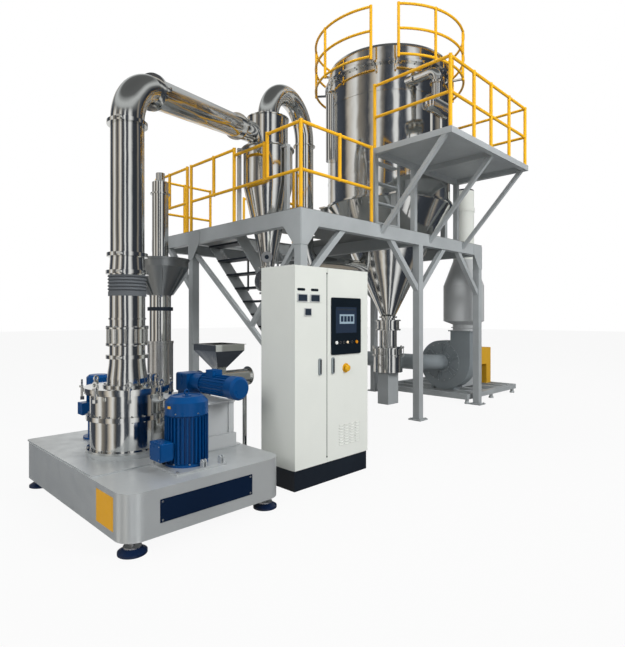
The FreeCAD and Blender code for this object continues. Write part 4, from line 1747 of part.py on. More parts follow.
def make_vent_vessel():
    """Vent filter on its cone over a round drum."""
    x, y, w = VENT_X, VENT_Y, 4
    name = "vent_vessel"
    line = [(145, DRUM_TOP), (145, 1970), (150, 1990), (385, 2380), (385, 2500), (300, 2500), (110, 2520),
            (110, 3570), (60, 3600), (60, 3700)]
    add(name, shell_of(line, w, x, y))
    add(name, ring(172, 145, x, y, 1780, 1830), ring(398, 385, x, y, 2470, 2500), ring(135, 110, x, y, 3400, 3416))
    cone = turned([(0, 1990), (150, 1990), (385, 2380), (0, 2380)], x, y)
    for i in range(8):
        rib = prism([V(x + 152, y - 3, 2000), V(x + 378, y - 3, 2376), V(x + 384, y - 3, 2376), V(x + 384, y - 3, 2300),
                     V(x + 176, y - 3, 2000)], V(0, 6, 0))
        add(name, spun(rib.cut(cone), x, y, i * 45 + 22.5))
    drum = turned([(0, 0), (DRUM_R, 0), (DRUM_R, 20), (DRUM_R - 6, 26), (DRUM_R - 6, 640), (DRUM_R, 648),
                   (DRUM_R, 668), (DRUM_R - 6, 676), (DRUM_R - 6, DRUM_TOP - 40), (DRUM_R, DRUM_TOP - 34),
                   (DRUM_R, DRUM_TOP), (141, DRUM_TOP), (141, DRUM_TOP - 6), (DRUM_R - 12, DRUM_TOP - 6),
                   (DRUM_R - 12, 8), (0, 8)], x, y)
    add(name, drum)


def main():
    for make in (make_base, make_feet, make_casings, make_liner, make_shroud, make_bearing_housing, make_rotor,
                 make_classifier, make_cover, make_cover_clamps, make_outlet, make_sleeve, make_transfer_duct,
                 make_main_motor, make_classifier_motor, make_belts, make_hopper, make_trough, make_screw,
                 make_gearmotor, make_stand, make_cabinet, make_doors, make_controls, make_columns, make_beams,
                 make_deck, make_lower_handrail, make_stairs, make_upper_platform, make_upper_handrails,
                 make_cyclone, make_air_ducts, make_cyclone_discharge, make_filter_discharge, make_filter, make_pulse_air,
                 make_fan_housing, make_fan_stack, make_impeller, make_fan_drive, make_vent_vessel):
        make()
    motor_z = BASE_TOP + PLATE_T
    make_motor_shaft("main_motor_shaft", MOTOR_X, MOTOR_Y, MOTOR_SHAFT_R, motor_z + 110,
                     MOTOR_PULLEY_R, MAIN_PULLEY_Z, MAIN_BELTS)
    make_motor_shaft("classifier_motor_shaft", CLASS_MOTOR_X, CLASS_MOTOR_Y, MOTOR_SHAFT_R, RING_BASE + 110,
                     CLASS_MOTOR_PULLEY_R, CLASS_PULLEY_Z, CLASS_BELTS)
    os.makedirs("parts", exist_ok=True)
    for name, shapes in NODES.items():
        solids = [s for shape in shapes for s in shape.Solids]
        Part.makeCompound(solids).exportStep("parts/" + name + ".step")
    print(len(NODES), "nodes")


main()
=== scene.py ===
"""Looks of the air classifying mill plant: finishes, fasteners and fittings round the CAD frame."""
import math

import bmesh
import bpy
from mathutils import Matrix, Vector

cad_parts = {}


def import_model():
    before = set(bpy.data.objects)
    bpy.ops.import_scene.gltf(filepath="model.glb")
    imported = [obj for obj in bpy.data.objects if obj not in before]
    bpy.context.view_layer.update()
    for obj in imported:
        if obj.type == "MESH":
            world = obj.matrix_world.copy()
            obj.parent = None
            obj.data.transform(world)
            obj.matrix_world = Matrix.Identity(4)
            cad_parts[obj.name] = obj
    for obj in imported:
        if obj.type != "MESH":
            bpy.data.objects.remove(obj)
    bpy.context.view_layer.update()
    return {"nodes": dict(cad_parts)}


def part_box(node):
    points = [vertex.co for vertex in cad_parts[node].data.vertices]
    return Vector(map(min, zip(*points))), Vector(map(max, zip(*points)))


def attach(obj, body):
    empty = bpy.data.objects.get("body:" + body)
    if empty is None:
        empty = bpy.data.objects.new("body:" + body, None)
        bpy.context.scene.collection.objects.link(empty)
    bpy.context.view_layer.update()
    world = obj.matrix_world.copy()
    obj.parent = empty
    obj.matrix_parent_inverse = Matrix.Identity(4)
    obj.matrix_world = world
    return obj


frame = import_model()
NODES = frame["nodes"]

# Camera: at eye height, level, looking diagonally across the plant
EYE = Vector((-6.35, -5.885, 1.693))
HEADING = 45.0
FOCAL_PX = 500.0
PHOTO_H = 647
HORIZON_V = 317.0
SENSOR = 36.0

# Directions that fittings face
LEFT = (-1, 0, 0)
FRONT = (0, -1, 0)
UP = (0, 0, 1)
DOWN = (0, 0, -1)

# Upright axes of the plant and the fan's centre, metres
MILL = Vector((-4.29, -1.405, 0))
MOTOR = Vector((-4.12, -2.155, 0))
CYCLONE = Vector((-1.5, -0.085, 0))
FILTER = Vector((1.65, 0.015, 0))
FAN = Vector((3.1, -0.405, 0.76))

# Cabinet: front of its doors, and the planes past which lie the doors' plates and the panel's rings
DOOR_FRONT = -2.365
PLATE_PLANE = -2.3651
PANEL_PLANE = -2.3775

# Angle between faces from which an edge stays crisp
CRISP = math.radians(32)


# Colour and node helpers
def srgb(red, green, blue):
    """Linear colour from 0-255 screen values."""
    return tuple(c / 12.92 if c <= 0.04045 else ((c + 0.055) / 1.055) ** 2.4
                 for c in (red / 255.0, green / 255.0, blue / 255.0))


def shade(colour, factor):
    return tuple(c * factor for c in colour)


def ramp(tree, value, stops):
    """Colour ramp over a value, from (place, colour) stops."""
    node = tree.nodes.new("ShaderNodeValToRGB")
    elements = node.color_ramp.elements
    while len(elements) < len(stops):
        elements.new(0.5)
    for element, (place, colour) in zip(elements, stops):
        element.position = place
        element.color = (*colour, 1.0)
    tree.links.new(value, node.inputs["Fac"])
    return node.outputs["Color"]


def remap(tree, value, source, target=(0.0, 1.0)):
    """Value taken from the source range to the target range and held at its ends."""
    node = tree.nodes.new("ShaderNodeMapRange")
    for name, number in zip(("From Min", "From Max", "To Min", "To Max"), (*source, *target)):
        node.inputs[name].default_value = number
    tree.links.new(value, node.inputs["Value"])
    return node.outputs["Result"]


def calculate(tree, operation, first, second):
    """Math node over a socket and a second socket or number."""
    node = tree.nodes.new("ShaderNodeMath")
    node.operation = operation
    tree.links.new(first, node.inputs[0])
    if isinstance(second, float):
        node.inputs[1].default_value = second
    else:
        tree.links.new(second, node.inputs[1])
    return node.outputs[0]


def mix_shaders(tree, share, first, second):
    node = tree.nodes.new("ShaderNodeMixShader")
    for socket, source in zip(node.inputs, (share, first, second)):
        tree.links.new(source, socket)
    return node.outputs[0]


# Range that holds most values of a noise texture
NOISE_RANGE = (0.3, 0.7)


class Shader:
    """Material with a Principled shader and short calls for its texture nodes."""

    def __init__(self, name, **values):
        self.material = bpy.data.materials.new(name)
        self.material.use_nodes = True
        self.tree = self.material.node_tree
        self.inputs = self.tree.nodes["Principled BSDF"].inputs
        self.coords = self.tree.nodes.new("ShaderNodeTexCoord").outputs["Object"]
        for key, value in values.items():
            self.inputs[key.replace("_", " ")].default_value = value

    def feed(self, name, source):
        self.tree.links.new(source, self.inputs[name])

    def stretched(self, scale, turn=0.0):
        """Object coordinates, turned about Z and scaled."""
        node = self.tree.nodes.new("ShaderNodeMapping")
        node.inputs["Rotation"].default_value = (0, 0, turn)
        node.inputs["Scale"].default_value = scale
        self.tree.links.new(self.coords, node.inputs["Vector"])
        return node.outputs["Vector"]

    def noise(self, scale, detail, vector=None):
        node = self.tree.nodes.new("ShaderNodeTexNoise")
        node.inputs["Scale"].default_value = scale
        node.inputs["Detail"].default_value = detail
        self.tree.links.new(vector or self.coords, node.inputs["Vector"])
        return node.outputs["Fac"]

    def bump(self, height, strength, distance, under=None):
        """Normal raised by a texture, over another normal where one is given."""
        node = self.tree.nodes.new("ShaderNodeBump")
        node.inputs["Strength"].default_value = strength
        node.inputs["Distance"].default_value = distance
        self.tree.links.new(height, node.inputs["Height"])
        if under is not None:
            self.tree.links.new(under, node.inputs["Normal"])
        return node.outputs["Normal"]

    def mottle(self, texture, low, high):
        """Base colour that runs from low to high over a texture."""
        self.feed("Base Color", ramp(self.tree, texture, list(zip(NOISE_RANGE, (low, high)))))

    def roughen(self, texture, low, high):
        """Roughness that runs from low to high over a texture."""
        self.feed("Roughness", remap(self.tree, texture, NOISE_RANGE, (low, high)))

    def emboss(self, texture, strength, distance):
        self.feed("Normal", self.bump(texture, strength, distance))


# Kinds of surface
def painted(name, colour, rough=0.38, metal=0.0, vary=0.07, peel=0.12, coat=0.0, gloss=0.4):
    """Sprayed paint: faint cloudiness, orange-peel bump and uneven gloss."""
    shader = Shader(name, Metallic=metal, Coat_Weight=coat, Coat_Roughness=0.15, Specular_IOR_Level=gloss)
    shader.mottle(shader.noise(scale=2.2, detail=4.0), shade(colour, 1 - vary), shade(colour, 1 + vary))
    shader.roughen(shader.noise(scale=9.0, detail=3.0), rough - 0.06, rough + 0.08)
    shader.emboss(shader.noise(scale=260.0, detail=2.0), peel, distance=0.0006)
    return shader.material


def polished(name, colour, rough, wave=0.30, streak=0.08):
    """Polished stainless sheet: long faint waves, fine upright brushing and water marks."""
    shader = Shader(name, Metallic=1.0)
    shader.mottle(shader.noise(scale=1.3, detail=4.0), shade(colour, 0.90), shade(colour, 1.04))
    brush = shader.noise(scale=1.0, detail=4.0, vector=shader.stretched((180.0, 180.0, 3.0)))
    shader.roughen(brush, rough - streak * 0.5, rough + streak)
    waves = shader.bump(shader.noise(scale=2.4, detail=2.0), wave, distance=0.02)
    shader.feed("Normal", shader.bump(brush, strength=0.06, distance=0.0005, under=waves))
    return shader.material


def machined(name, colour, rough=0.30):
    """Turned or galvanised metal with a fine grain."""
    shader = Shader(name, Metallic=1.0)
    grain = shader.noise(scale=140.0, detail=3.0)
    shader.mottle(grain, shade(colour, 0.85), shade(colour, 1.1))
    shader.roughen(grain, rough - 0.06, rough + 0.1)
    shader.emboss(grain, strength=0.1, distance=0.0004)
    return shader.material


def moulded(name, colour, rough, strength=0.12, gloss=0.25):
    """Moulded plastic or rubber with a fine eroded grain."""
    shader = Shader(name, Specular_IOR_Level=gloss)
    shader.mottle(shader.noise(scale=6.0, detail=3.0), shade(colour, 0.92), shade(colour, 1.08))
    shader.roughen(shader.noise(scale=30.0, detail=2.0), rough - 0.05, rough + 0.07)
    shader.emboss(shader.noise(scale=420.0, detail=2.0), strength, distance=0.0004)
    return shader.material


def felted(name, colour):
    """Filter felt: matt, with a fine upright weave."""
    shader = Shader(name, Roughness=0.95, Sheen_Weight=0.4)
    weave = shader.noise(scale=600.0, detail=3.0, vector=shader.stretched((1.0, 1.0, 0.4)))
    shader.mottle(weave, shade(colour, 0.8), colour)
    shader.emboss(weave, strength=0.5, distance=0.001)
    return shader.material


def chequered(name, colour):
    """Chequer plate: raised lens-shaped studs laid two ways."""
    shader = Shader(name, Metallic=0.2, Roughness=0.5)
    studs = []
    for turn in (math.radians(45), math.radians(-45)):
        cell = shader.tree.nodes.new("ShaderNodeTexVoronoi")
        cell.inputs["Randomness"].default_value = 0.0
        cell.inputs["Scale"].default_value = 1.0
        shader.tree.links.new(shader.stretched((18.0, 44.0, 1.0), turn), cell.inputs["Vector"])
        studs.append(remap(shader.tree, cell.outputs["Distance"], (0.12, 0.32), (1.0, 0.0)))
    shader.emboss(calculate(shader.tree, "MAXIMUM", *studs), strength=0.6, distance=0.002)
    shader.mottle(shader.noise(scale=3.0, detail=4.0), shade(colour, 0.85), shade(colour, 1.1))
    return shader.material


def glowing(name, colour, strength):
    """Lit display."""
    shader = Shader(name, Roughness=0.25, Emission_Strength=strength, Emission_Color=(*colour, 1.0))
    shader.mottle(shader.noise(scale=40.0, detail=2.0), shade(colour, 0.9), colour)
    return shader.material


MAT = {
    "silver": painted("silver_paint", srgb(198, 202, 203), 0.34, metal=0.50, vary=0.03, peel=0.01),
    "grey": painted("platform_grey", srgb(175, 180, 182), 0.44, metal=0.1),
    "deck": chequered("deck_plate", srgb(122, 125, 124)),
    "light": painted("light_grey", srgb(186, 189, 190), 0.38, vary=0.05),
    "fan": painted("fan_grey", srgb(144, 152, 156), 0.40, metal=0.15),
    "blue": painted("motor_blue", srgb(1, 66, 122), 0.32, vary=0.12, peel=0.25, gloss=0.3),
    "yellow": painted("rail_yellow", srgb(244, 184, 32), 0.36, vary=0.05, coat=0.2),
    "guard": painted("guard_yellow", srgb(226, 174, 44), 0.42, vary=0.06, coat=0.1),
    "cabinet": painted("cabinet_white", srgb(222, 225, 219), 0.50, vary=0.02, peel=0.25),
    "dark": painted("plinth_dark", srgb(24, 32, 42), 0.46, vary=0.10),
    "foot": painted("foot_navy", srgb(14, 32, 62), 0.36, vary=0.06),
    "navy": painted("plate_navy", srgb(8, 26, 50), 0.50, vary=0.06, gloss=0.12),
    "label": painted("label_yellow", srgb(222, 164, 40), 0.46, vary=0.04, peel=0.03, gloss=0.3),
    "steel": polished("polished_stainless", (0.76, 0.765, 0.75), rough=0.085),
    "satin": polished("satin_stainless", (0.72, 0.73, 0.73), rough=0.26, wave=0.1, streak=0.12),
    "dull": polished("dull_stainless", (0.36, 0.38, 0.39), rough=0.34, wave=0.1, streak=0.12),
    "machined": machined("machined_steel", (0.55, 0.56, 0.57)),
    "zinc": machined("zinc_plate", (0.70, 0.71, 0.72), 0.34),
    "rubber": moulded("sleeve_rubber", srgb(96, 100, 104), 0.62),
    "black": moulded("black_plastic", srgb(18, 27, 35), 0.46, gloss=0.12),
    "belt": moulded("belt_rubber", srgb(20, 20, 21), 0.65),
    "felt": felted("filter_felt", srgb(226, 224, 214)),
    "white": moulded("white_plastic", srgb(228, 230, 228), 0.25, strength=0.03),
    "amber": moulded("amber_plastic", srgb(226, 172, 36), 0.25, strength=0.03),
    "orange": moulded("orange_plastic", srgb(206, 134, 24), 0.25, strength=0.03),
    "pale": moulded("pale_amber_lens", srgb(236, 216, 186), 0.25, strength=0.03),
    "glass": moulded("meter_window", srgb(40, 50, 62), 0.12, strength=0.0),
    "screen": glowing("display_dark", srgb(26, 40, 58), 0.35),
    "display": glowing("display_pale", srgb(138, 158, 172), 0.25),
}


# Zones: tests of a face's centre that pick out part of a node
INFINITE = math.inf
ANY = (-INFINITE, INFINITE)


def inside(x=ANY, y=ANY, z=ANY):
    """Zone inside a box; a range that isn't given is open."""
    return lambda spot: x[0] < spot.x < x[1] and y[0] < spot.y < y[1] and z[0] < spot.z < z[1]


def above(height):
    return inside(z=(height, INFINITE))


def below(height):
    return inside(z=(-INFINITE, height))


def before(plane):
    """Zone in front of a plane across Y."""
    return inside(y=(-INFINITE, plane))


def near(axis, radius):
    """Zone within a radius of an upright axis."""
    return lambda spot: math.hypot(spot.x - axis.x, spot.y - axis.y) < radius


def either(first, second):
    return lambda spot: first(spot) or second(spot)


def clear_of(axis, radius, zone):
    """Zone less what is within a radius of an upright axis."""
    return lambda spot: zone(spot) and not near(axis, radius)(spot)


FEEDER_STAND = inside(x=(-3.91, -3.45), y=(-1.96, INFINITE), z=(0.464, INFINITE))
MOUNTING_PLATE = inside(x=(-3.0, -2.03), y=(-1.905, -1.872), z=(0.27, 2.12))
PALE_LAMP = inside(x=(-2.337, -2.297), y=(-INFINITE, PANEL_PLANE))
STAIR_TREADS = inside(y=(0.3255, 1.1045))
CYCLONE_LUGS = clear_of(CYCLONE, 0.3755, inside(z=(3.0, 4.189)))
PORT_RIM = clear_of(CYCLONE, 0.155, inside(z=(2.49, 2.66)))
CYCLONE_GEARMOTOR = inside(x=(CYCLONE.x + 0.2445, INFINITE))
RECEIVER_AND_GEARMOTOR = either(below(0.6225), clear_of(FILTER, 0.2815, below(0.87)))

# Nodes of one finish
PLAIN = {
    "steel": ("classifying_chamber", "mill_cover", "outlet_bell", "transfer_duct", "feed_hopper",
              "feeder_trough", "cover_clamps", "filter_body", "filter_hopper", "filter_cover",
              "pulse_air_vessel"),
    "machined": ("toothed_liner", "grinding_rotor", "rotor_shaft", "bearing_housing", "classifier_wheel",
                 "main_motor_shaft", "classifier_motor_shaft", "feed_screw", "shroud_ring",
                 "cyclone_valve_rotor", "filter_valve_rotor", "fan_impeller", "fan_motor_shaft"),
    "blue": ("main_motor", "classifier_motor", "feeder_gearmotor", "fan_motor"),
    "fan": ("fan_housing", "left_handle", "right_handle"),
    "grey": ("platform_columns", "platform_beams"),
    "deck": ("platform_deck",),
    "yellow": ("platform_handrail",),
    "guard": ("fan_guard",),
    "dark": ("cabinet_plinth",),
    "rubber": ("flexible_sleeve",),
    "belt": ("drive_belts",),
    "amber": ("emergency_button",),
    "white": ("start_button",),
    "orange": ("stop_button",),
}

# Nodes with zones: the main finish, then (finish, zone) pairs, of which a later one wins
ZONED = {
    "mill_base": ("silver", ("light", FEEDER_STAND)),
    "base_feet": ("foot", ("zinc", above(0.05))),
    "grinding_chamber": ("steel", ("silver", below(0.5001))),
    "cabinet_shell": ("cabinet", ("zinc", MOUNTING_PLATE)),
    "left_door": ("cabinet", ("light", before(PLATE_PLANE))),
    "right_door": ("cabinet", ("amber", before(PLATE_PLANE))),
    "touch_panel": ("black", ("zinc", before(PANEL_PLANE)), ("pale", PALE_LAMP)),
    "platform_stairs": ("grey", ("dark", STAIR_TREADS)),
    "upper_platform": ("grey", ("deck", above(4.2299))),
    "upper_handrails": ("yellow", ("steel", near(FILTER, 1.3955))),
    "cyclone_body": ("steel", ("grey", CYCLONE_LUGS), ("zinc", PORT_RIM)),
    "cyclone_valve": ("steel", ("blue", CYCLONE_GEARMOTOR)),
    "air_ducts": ("steel", ("fan", below(1.40))),
    "filter_bags": ("felt", ("zinc", above(5.6499))),
    "filter_valve": ("steel", ("grey", RECEIVER_AND_GEARMOTOR)),
    "fan_skid": ("grey", ("machined", above(0.686))),
    "fan_stack": ("cabinet", ("light", below(2.95)), ("dark", above(4.2499))),
    "vent_vessel": ("steel", ("satin", below(1.36)), ("dark", inside(z=(1.779, 1.831))),
                    ("dull", inside(z=(1.9905, 2.5005)))),
}


def finish_node(name, main, *zones):
    """Give a node its finishes and rounded shading, with the real edges kept crisp."""
    mesh = NODES[name].data
    mesh.materials.clear()
    for key in [main] + [key for key, _ in zones]:
        mesh.materials.append(MAT[key])
    for face in mesh.polygons:
        face.material_index = 0
        for i, (_, zone) in enumerate(zones, 1):
            if zone(face.center):
                face.material_index = i
    mesh.polygons.foreach_set("use_smooth", [True] * len(mesh.polygons))
    mesh.set_sharp_from_angle(angle=CRISP)


def finish_nodes():
    for key, names in PLAIN.items():
        for name in names:
            finish_node(name, key)
    for name, finishes in ZONED.items():
        finish_node(name, *finishes)


# Small forms, each as points and faces
def angles(count):
    return [2 * math.pi * i / count for i in range(count)]


def polar(radius, angle):
    return radius * math.cos(angle), radius * math.sin(angle)


def walls(count, rings, base=0):
    """Faces between rings of count points each, numbered one ring after another from base."""
    return [[low + i, low + (i + 1) % count, low + count + (i + 1) % count, low + count + i]
            for low in range(base, base + (rings - 1) * count, count) for i in range(count)]


def lathe(points, count):
    """Turned form about local Z from (radius, height) points, closed at radius 0."""
    verts, rings, faces = [], [], []
    for radius, height in points:
        if radius == 0:
            rings.append([len(verts)] * count)
            verts.append((0, 0, height))
        else:
            rings.append([len(verts) + i for i in range(count)])
            verts += [(*polar(radius, angle), height) for angle in angles(count)]
    for low, high in zip(rings, rings[1:]):
        for i in range(count):
            j = (i + 1) % count
            corners = list(dict.fromkeys((low[i], low[j], high[j], high[i])))
            if len(corners) > 2:
                faces.append(corners)
    return verts, faces


def button(radius, thick, top_radius, height, count):
    """Round cap with an eased edge."""
    return lathe([(0, 0), (radius, 0), (radius, thick), (top_radius, height), (0, height)], count)


def hex_bolt(across, height):
    """Hexagon head on a washer, standing on local z = 0, its top edge eased."""
    sides = 6
    ease = 0.86
    washer_r = across * 0.644
    washer_t = height * 0.22
    corner_r = across / math.sqrt(3)
    verts, faces = lathe([(0, 0), (washer_r, 0), (washer_r, washer_t), (0, washer_t)], 18)
    base = len(verts)
    for level, share in ((washer_t, 1.0), (height * ease, 1.0), (height, ease)):
        verts += [(*polar(corner_r * share, angle), level) for angle in angles(sides)]
    faces += walls(sides, 3, base)
    faces.append([base + 2 * sides + i for i in range(sides)])
    return verts, faces


def plate(width, height, thick, radius, bevel=0.0):
    """Rounded rectangle in local XY standing up thick along Z, its top edge eased by bevel."""
    steps = 5

    def outline(inset, level):
        corner = max(radius - inset, 1e-5)
        reach_x = width / 2 - inset - corner
        reach_y = height / 2 - inset - corner
        line = []
        for k, (way_x, way_y) in enumerate(((1, 1), (-1, 1), (-1, -1), (1, -1))):
            for i in range(steps + 1):
                x, y = polar(corner, math.pi / 2 * (k + i / steps))
                line.append((way_x * reach_x + x, way_y * reach_y + y, level))
        return line

    levels = [outline(0, 0), outline(0, thick - bevel)]
    if bevel > 0:
        levels.append(outline(bevel, thick))
    count = len(levels[0])
    top = (len(levels) - 1) * count
    faces = walls(count, len(levels))
    faces.append([top + i for i in range(count)])
    faces.append(list(reversed(range(count))))
    return [point for level in levels for point in level], faces


def bent_bar(points, radius, count=10):
    """Round bar that follows a list of points, with closed ends."""
    points = [Vector(point) for point in points]
    last = len(points) - 1
    verts = []
    side = None
    for k, point in enumerate(points):
        ahead = (points[min(k + 1, last)] - points[max(k - 1, 0)]).normalized()
        if side is None:
            side = ahead.orthogonal().normalized()
        side = (side - ahead * side.dot(ahead)).normalized()
        up = ahead.cross(side)
        for across, along in (polar(radius, angle) for angle in angles(count)):
            verts.append(tuple(point + side * across + up * along))
    faces = walls(count, len(points))
    faces.append(list(reversed(range(count))))
    faces.append([last * count + i for i in range(count)])
    return verts, faces


# Pieces built from small forms
class Fitting:
    """One scene piece, joined from small forms, that rides on a body of the plant."""

    def __init__(self, name):
        self.name = name
        self.bm = bmesh.new()
        self.keys = []

    def put(self, form, matrix, key):
        if key not in self.keys:
            self.keys.append(key)
        verts, faces = form
        made = [self.bm.verts.new(matrix @ Vector(vert)) for vert in verts]
        for corners in faces:
            face = self.bm.faces.new([made[i] for i in corners])
            face.material_index = self.keys.index(key)
            face.smooth = True

    def done(self, body):
        bmesh.ops.recalc_face_normals(self.bm, faces=self.bm.faces)
        mesh = bpy.data.meshes.new(self.name)
        self.bm.to_mesh(mesh)
        self.bm.free()
        for key in self.keys:
            mesh.materials.append(MAT[key])
        mesh.set_sharp_from_angle(angle=CRISP)
        piece = bpy.data.objects.new(self.name, mesh)
        bpy.context.scene.collection.objects.link(piece)
        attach(piece, body)


def facing(point, normal, spin=0.0):
    """Frame at point whose local Z looks along normal and whose local Y stays as upright as it can."""
    z = Vector(normal).normalized()
    up = Vector(UP) if abs(z.z) < 0.99 else Vector((0, 1, 0))
    x = up.cross(z).normalized()
    basis = Matrix((x, z.cross(x), z)).transposed().to_4x4()
    return Matrix.Translation(point) @ basis @ Matrix.Rotation(spin, 4, "Z")


def on_door(x, z, proud=0.0):
    """Frame on the cabinet's doors, or that far in front of them."""
    return facing((x, DOOR_FRONT - proud, z), FRONT)


def bolt_circle(fitting, centre, radius, count, across, axis=UP, start=0.0):
    """Hexagon heads round a circle whose plane faces axis."""
    base = facing(Vector(centre), axis)
    bolt = hex_bolt(across, height=across * 0.55)
    for step in angles(count):
        angle = start + step
        spot = Matrix.Translation((*polar(radius, angle), 0))
        fitting.put(bolt, base @ spot @ Matrix.Rotation(angle, 4, "Z"), "zinc")


def bolt_circles(fitting, axle, rows):
    """Circles round an upright axis, from rows of height, radius, count, width across flats and facing."""
    for height, radius, count, across, axis in rows:
        bolt_circle(fitting, (axle.x, axle.y, height), radius, count, across, axis)


# Mill and its base
def bolt_mill():
    """Bolts of the mill's flanges, the main motor's flange and the raised plate under it."""
    bolts = Fitting("mill_bolts")
    bolt_circles(bolts, MILL, (
        (0.520, 0.336, 16, 0.018, UP), (0.820, 0.337, 20, 0.016, UP), (0.780, 0.337, 20, 0.016, DOWN),
        (1.081, 0.196, 12, 0.016, UP), (1.600, 0.174, 12, 0.022, UP), (1.440, 0.174, 12, 0.022, DOWN)))
    flange_top, plate_top = 0.490, 0.470
    bolt_circle(bolts, (MOTOR.x, MOTOR.y, flange_top), 0.1665, 8, 0.015, start=math.pi / 8)
    bolt = hex_bolt(across=0.020, height=0.011)
    for x in (-4.33, -3.91):
        for y in (-2.37, -1.985):
            bolts.put(bolt, Matrix.Translation((x, y, plate_top)), "zinc")
    bolts.done("plant")


def mark_base():
    """Bare name plate with its screws, and bare yellow label."""
    low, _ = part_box("mill_base")
    plate_x, plate_z = -4.15, 0.285
    plate_t = 0.004
    signs = Fitting("base_plates")
    signs.put(plate(0.84, 0.170, plate_t, 0.004, 0.001), facing((plate_x, low.y, plate_z), FRONT), "navy")
    screw = lathe([(0, 0), (0.008, 0), (0.008, 0.002), (0.005, 0.0045), (0, 0.005)], 14)
    for x in (plate_x - 0.40, plate_x + 0.40):
        for z in (plate_z - 0.067, plate_z + 0.067):
            signs.put(screw, facing((x, low.y - plate_t, z), FRONT), "zinc")
    signs.put(plate(0.30, 0.245, 0.0012, 0.002), facing((low.x, -2.222, plate_z), LEFT), "label")
    signs.done("plant")


def dress_main_motor():
    """Eye bolt, cowl screws, bare rating plate, box lid and cable gland of the main motor."""
    motor = Fitting("main_motor_fittings")
    cowl_top = 1.035
    ring_r, bar_r = 0.020, 0.006
    ring_z = cowl_top + ring_r + bar_r
    loop = [(MOTOR.x + x, MOTOR.y, ring_z + z) for x, z in (polar(ring_r, angle) for angle in angles(24))]
    motor.put(bent_bar(loop + loop[:1], bar_r), Matrix(), "blue")
    collar = lathe([(0, 0), (0.017, 0), (0.014, 0.010), (0, 0.010)], 18)
    motor.put(collar, Matrix.Translation((MOTOR.x, MOTOR.y, cowl_top - 0.002)), "blue")
    cowl_r, screws_z = 0.178, 0.905
    cowl_screw = hex_bolt(across=0.010, height=0.005)
    for angle in angles(6):
        out = Vector((*polar(1, math.pi / 6 + angle), 0))
        place = MOTOR + out * cowl_r + Vector((0, 0, screws_z))
        motor.put(cowl_screw, facing(place, out), "zinc")
    box_x, box_z = -4.405, 0.610
    lid_t = 0.006
    lid = plate(0.170, 0.130, lid_t, 0.012, 0.002)
    lid_screw = hex_bolt(across=0.008, height=0.004)
    motor.put(lid, facing((box_x, MOTOR.y, box_z), LEFT), "blue")
    for y in (-0.072, 0.072):
        for z in (-0.052, 0.052):
            motor.put(lid_screw, facing((box_x - lid_t, MOTOR.y + y, box_z + z), LEFT), "zinc")
    gland = button(0.018, 0.018, 0.012, 0.030, 16)
    motor.put(gland, facing((-4.345, MOTOR.y - 0.03, 0.535), DOWN), "black")
    rating = facing((MOTOR.x - 0.1785, MOTOR.y - 0.03, 0.955), (-1, -0.17, 0))
    motor.put(plate(0.036, 0.020, 0.002, 0.002), rating, "label")
    motor.done("plant")


# Cabinet
def dress_left_door():
    """Meters' windows, the bare strips over them, a black strip of painted shade along the seam between
    the doors, and the seam's pins.
    """
    seam_x = -2.622
    meter_proud = 0.010
    rim = 0.008
    door = Fitting("left_door_fittings")
    for x0, x1, z0, z1 in ((-3.040, -2.907, 1.841, 1.920), (-2.865, -2.732, 1.841, 1.920),
                           (-2.948, -2.851, 1.703, 1.782)):
        window = plate(x1 - x0 - 2 * rim, z1 - z0 - 2 * rim, 0.003, 0.003, 0.001)
        door.put(window, on_door((x0 + x1) / 2, (z0 + z1) / 2, meter_proud), "glass")
    for x in (-2.985, -2.800):
        door.put(plate(0.105, 0.026, 0.002, 0.012), on_door(x, 1.963), "black")
    # Thin black strip on the doors' fronts over the gap between them: painted shade of the gap
    door.put(plate(0.006, 1.90, 0.002, 0.002), on_door(seam_x, 1.20), "black")
    pin = button(0.009, 0.003, 0.006, 0.005, 16)
    for z in (0.262, 2.138):
        door.put(pin, on_door(seam_x, z), "black")
    door.done("left_leaf")


def dress_screen():
    """Screen of the touch panel, with a bare display of four bars and a bare head line."""
    x, z = (-2.498 - 2.159) / 2, (1.522 + 1.800) / 2
    panel_proud, screen_proud = 0.008, 0.010
    display_t = 0.0008
    first_bar, pitch = -0.070, 0.053
    bar = plate(0.042, 0.060, 0.0006, 0.004)
    screen = Fitting("screen_fittings")
    screen.put(plate(0.335, 0.274, 0.002, 0.004), on_door(x, z, panel_proud), "screen")
    screen.put(plate(0.235, 0.100, display_t, 0.002), on_door(x + 0.01, z + 0.01, screen_proud), "display")
    for i in range(4):
        spot = on_door(x + first_bar + pitch * i, z + 0.012, screen_proud + display_t)
        screen.put(bar, spot, "screen")
    screen.put(plate(0.300, 0.018, display_t, 0.002), on_door(x, z + 0.112, screen_proud), "glass")
    screen.done("right_leaf")


def put_louvre(fitting, matrix, width, height, out):
    """Pressed louvre over a slot: a quarter-round bulge below local Y 0, open along its lower edge, where
    a black face paints the shade inside the mouth.
    """
    steps, curve = 8, 4
    row = curve + 2
    verts, skin, mouth_shade = [], [], []
    for i in range(steps + 1):
        share = 0.08 + 0.92 * math.sin(math.pi * i / steps) ** 0.6
        x = width * (i / steps - 0.5)
        for k in range(curve + 1):
            angle = math.pi / 2 * k / curve
            verts.append((x, -height * share * math.sin(angle), out * share * (1 - math.cos(angle))))
        verts.append((x, -height * share, 0))
    for here in range(0, row * steps, row):
        ahead = here + row
        skin += [[here + k, ahead + k, ahead + k + 1, here + k + 1] for k in range(curve)]
        skin.append([here + curve + 1, ahead + curve + 1, ahead, here])
        mouth_shade.append([here + curve, ahead + curve, ahead + curve + 1, here + curve + 1])
    skin += [list(range(row)), [row * steps + k for k in reversed(range(row))]]
    fitting.put((verts, skin), matrix, "cabinet")
    # Black face across the louvre's mouth: painted shade of the dark slot behind it
    fitting.put((verts, mouth_shade), matrix, "black")


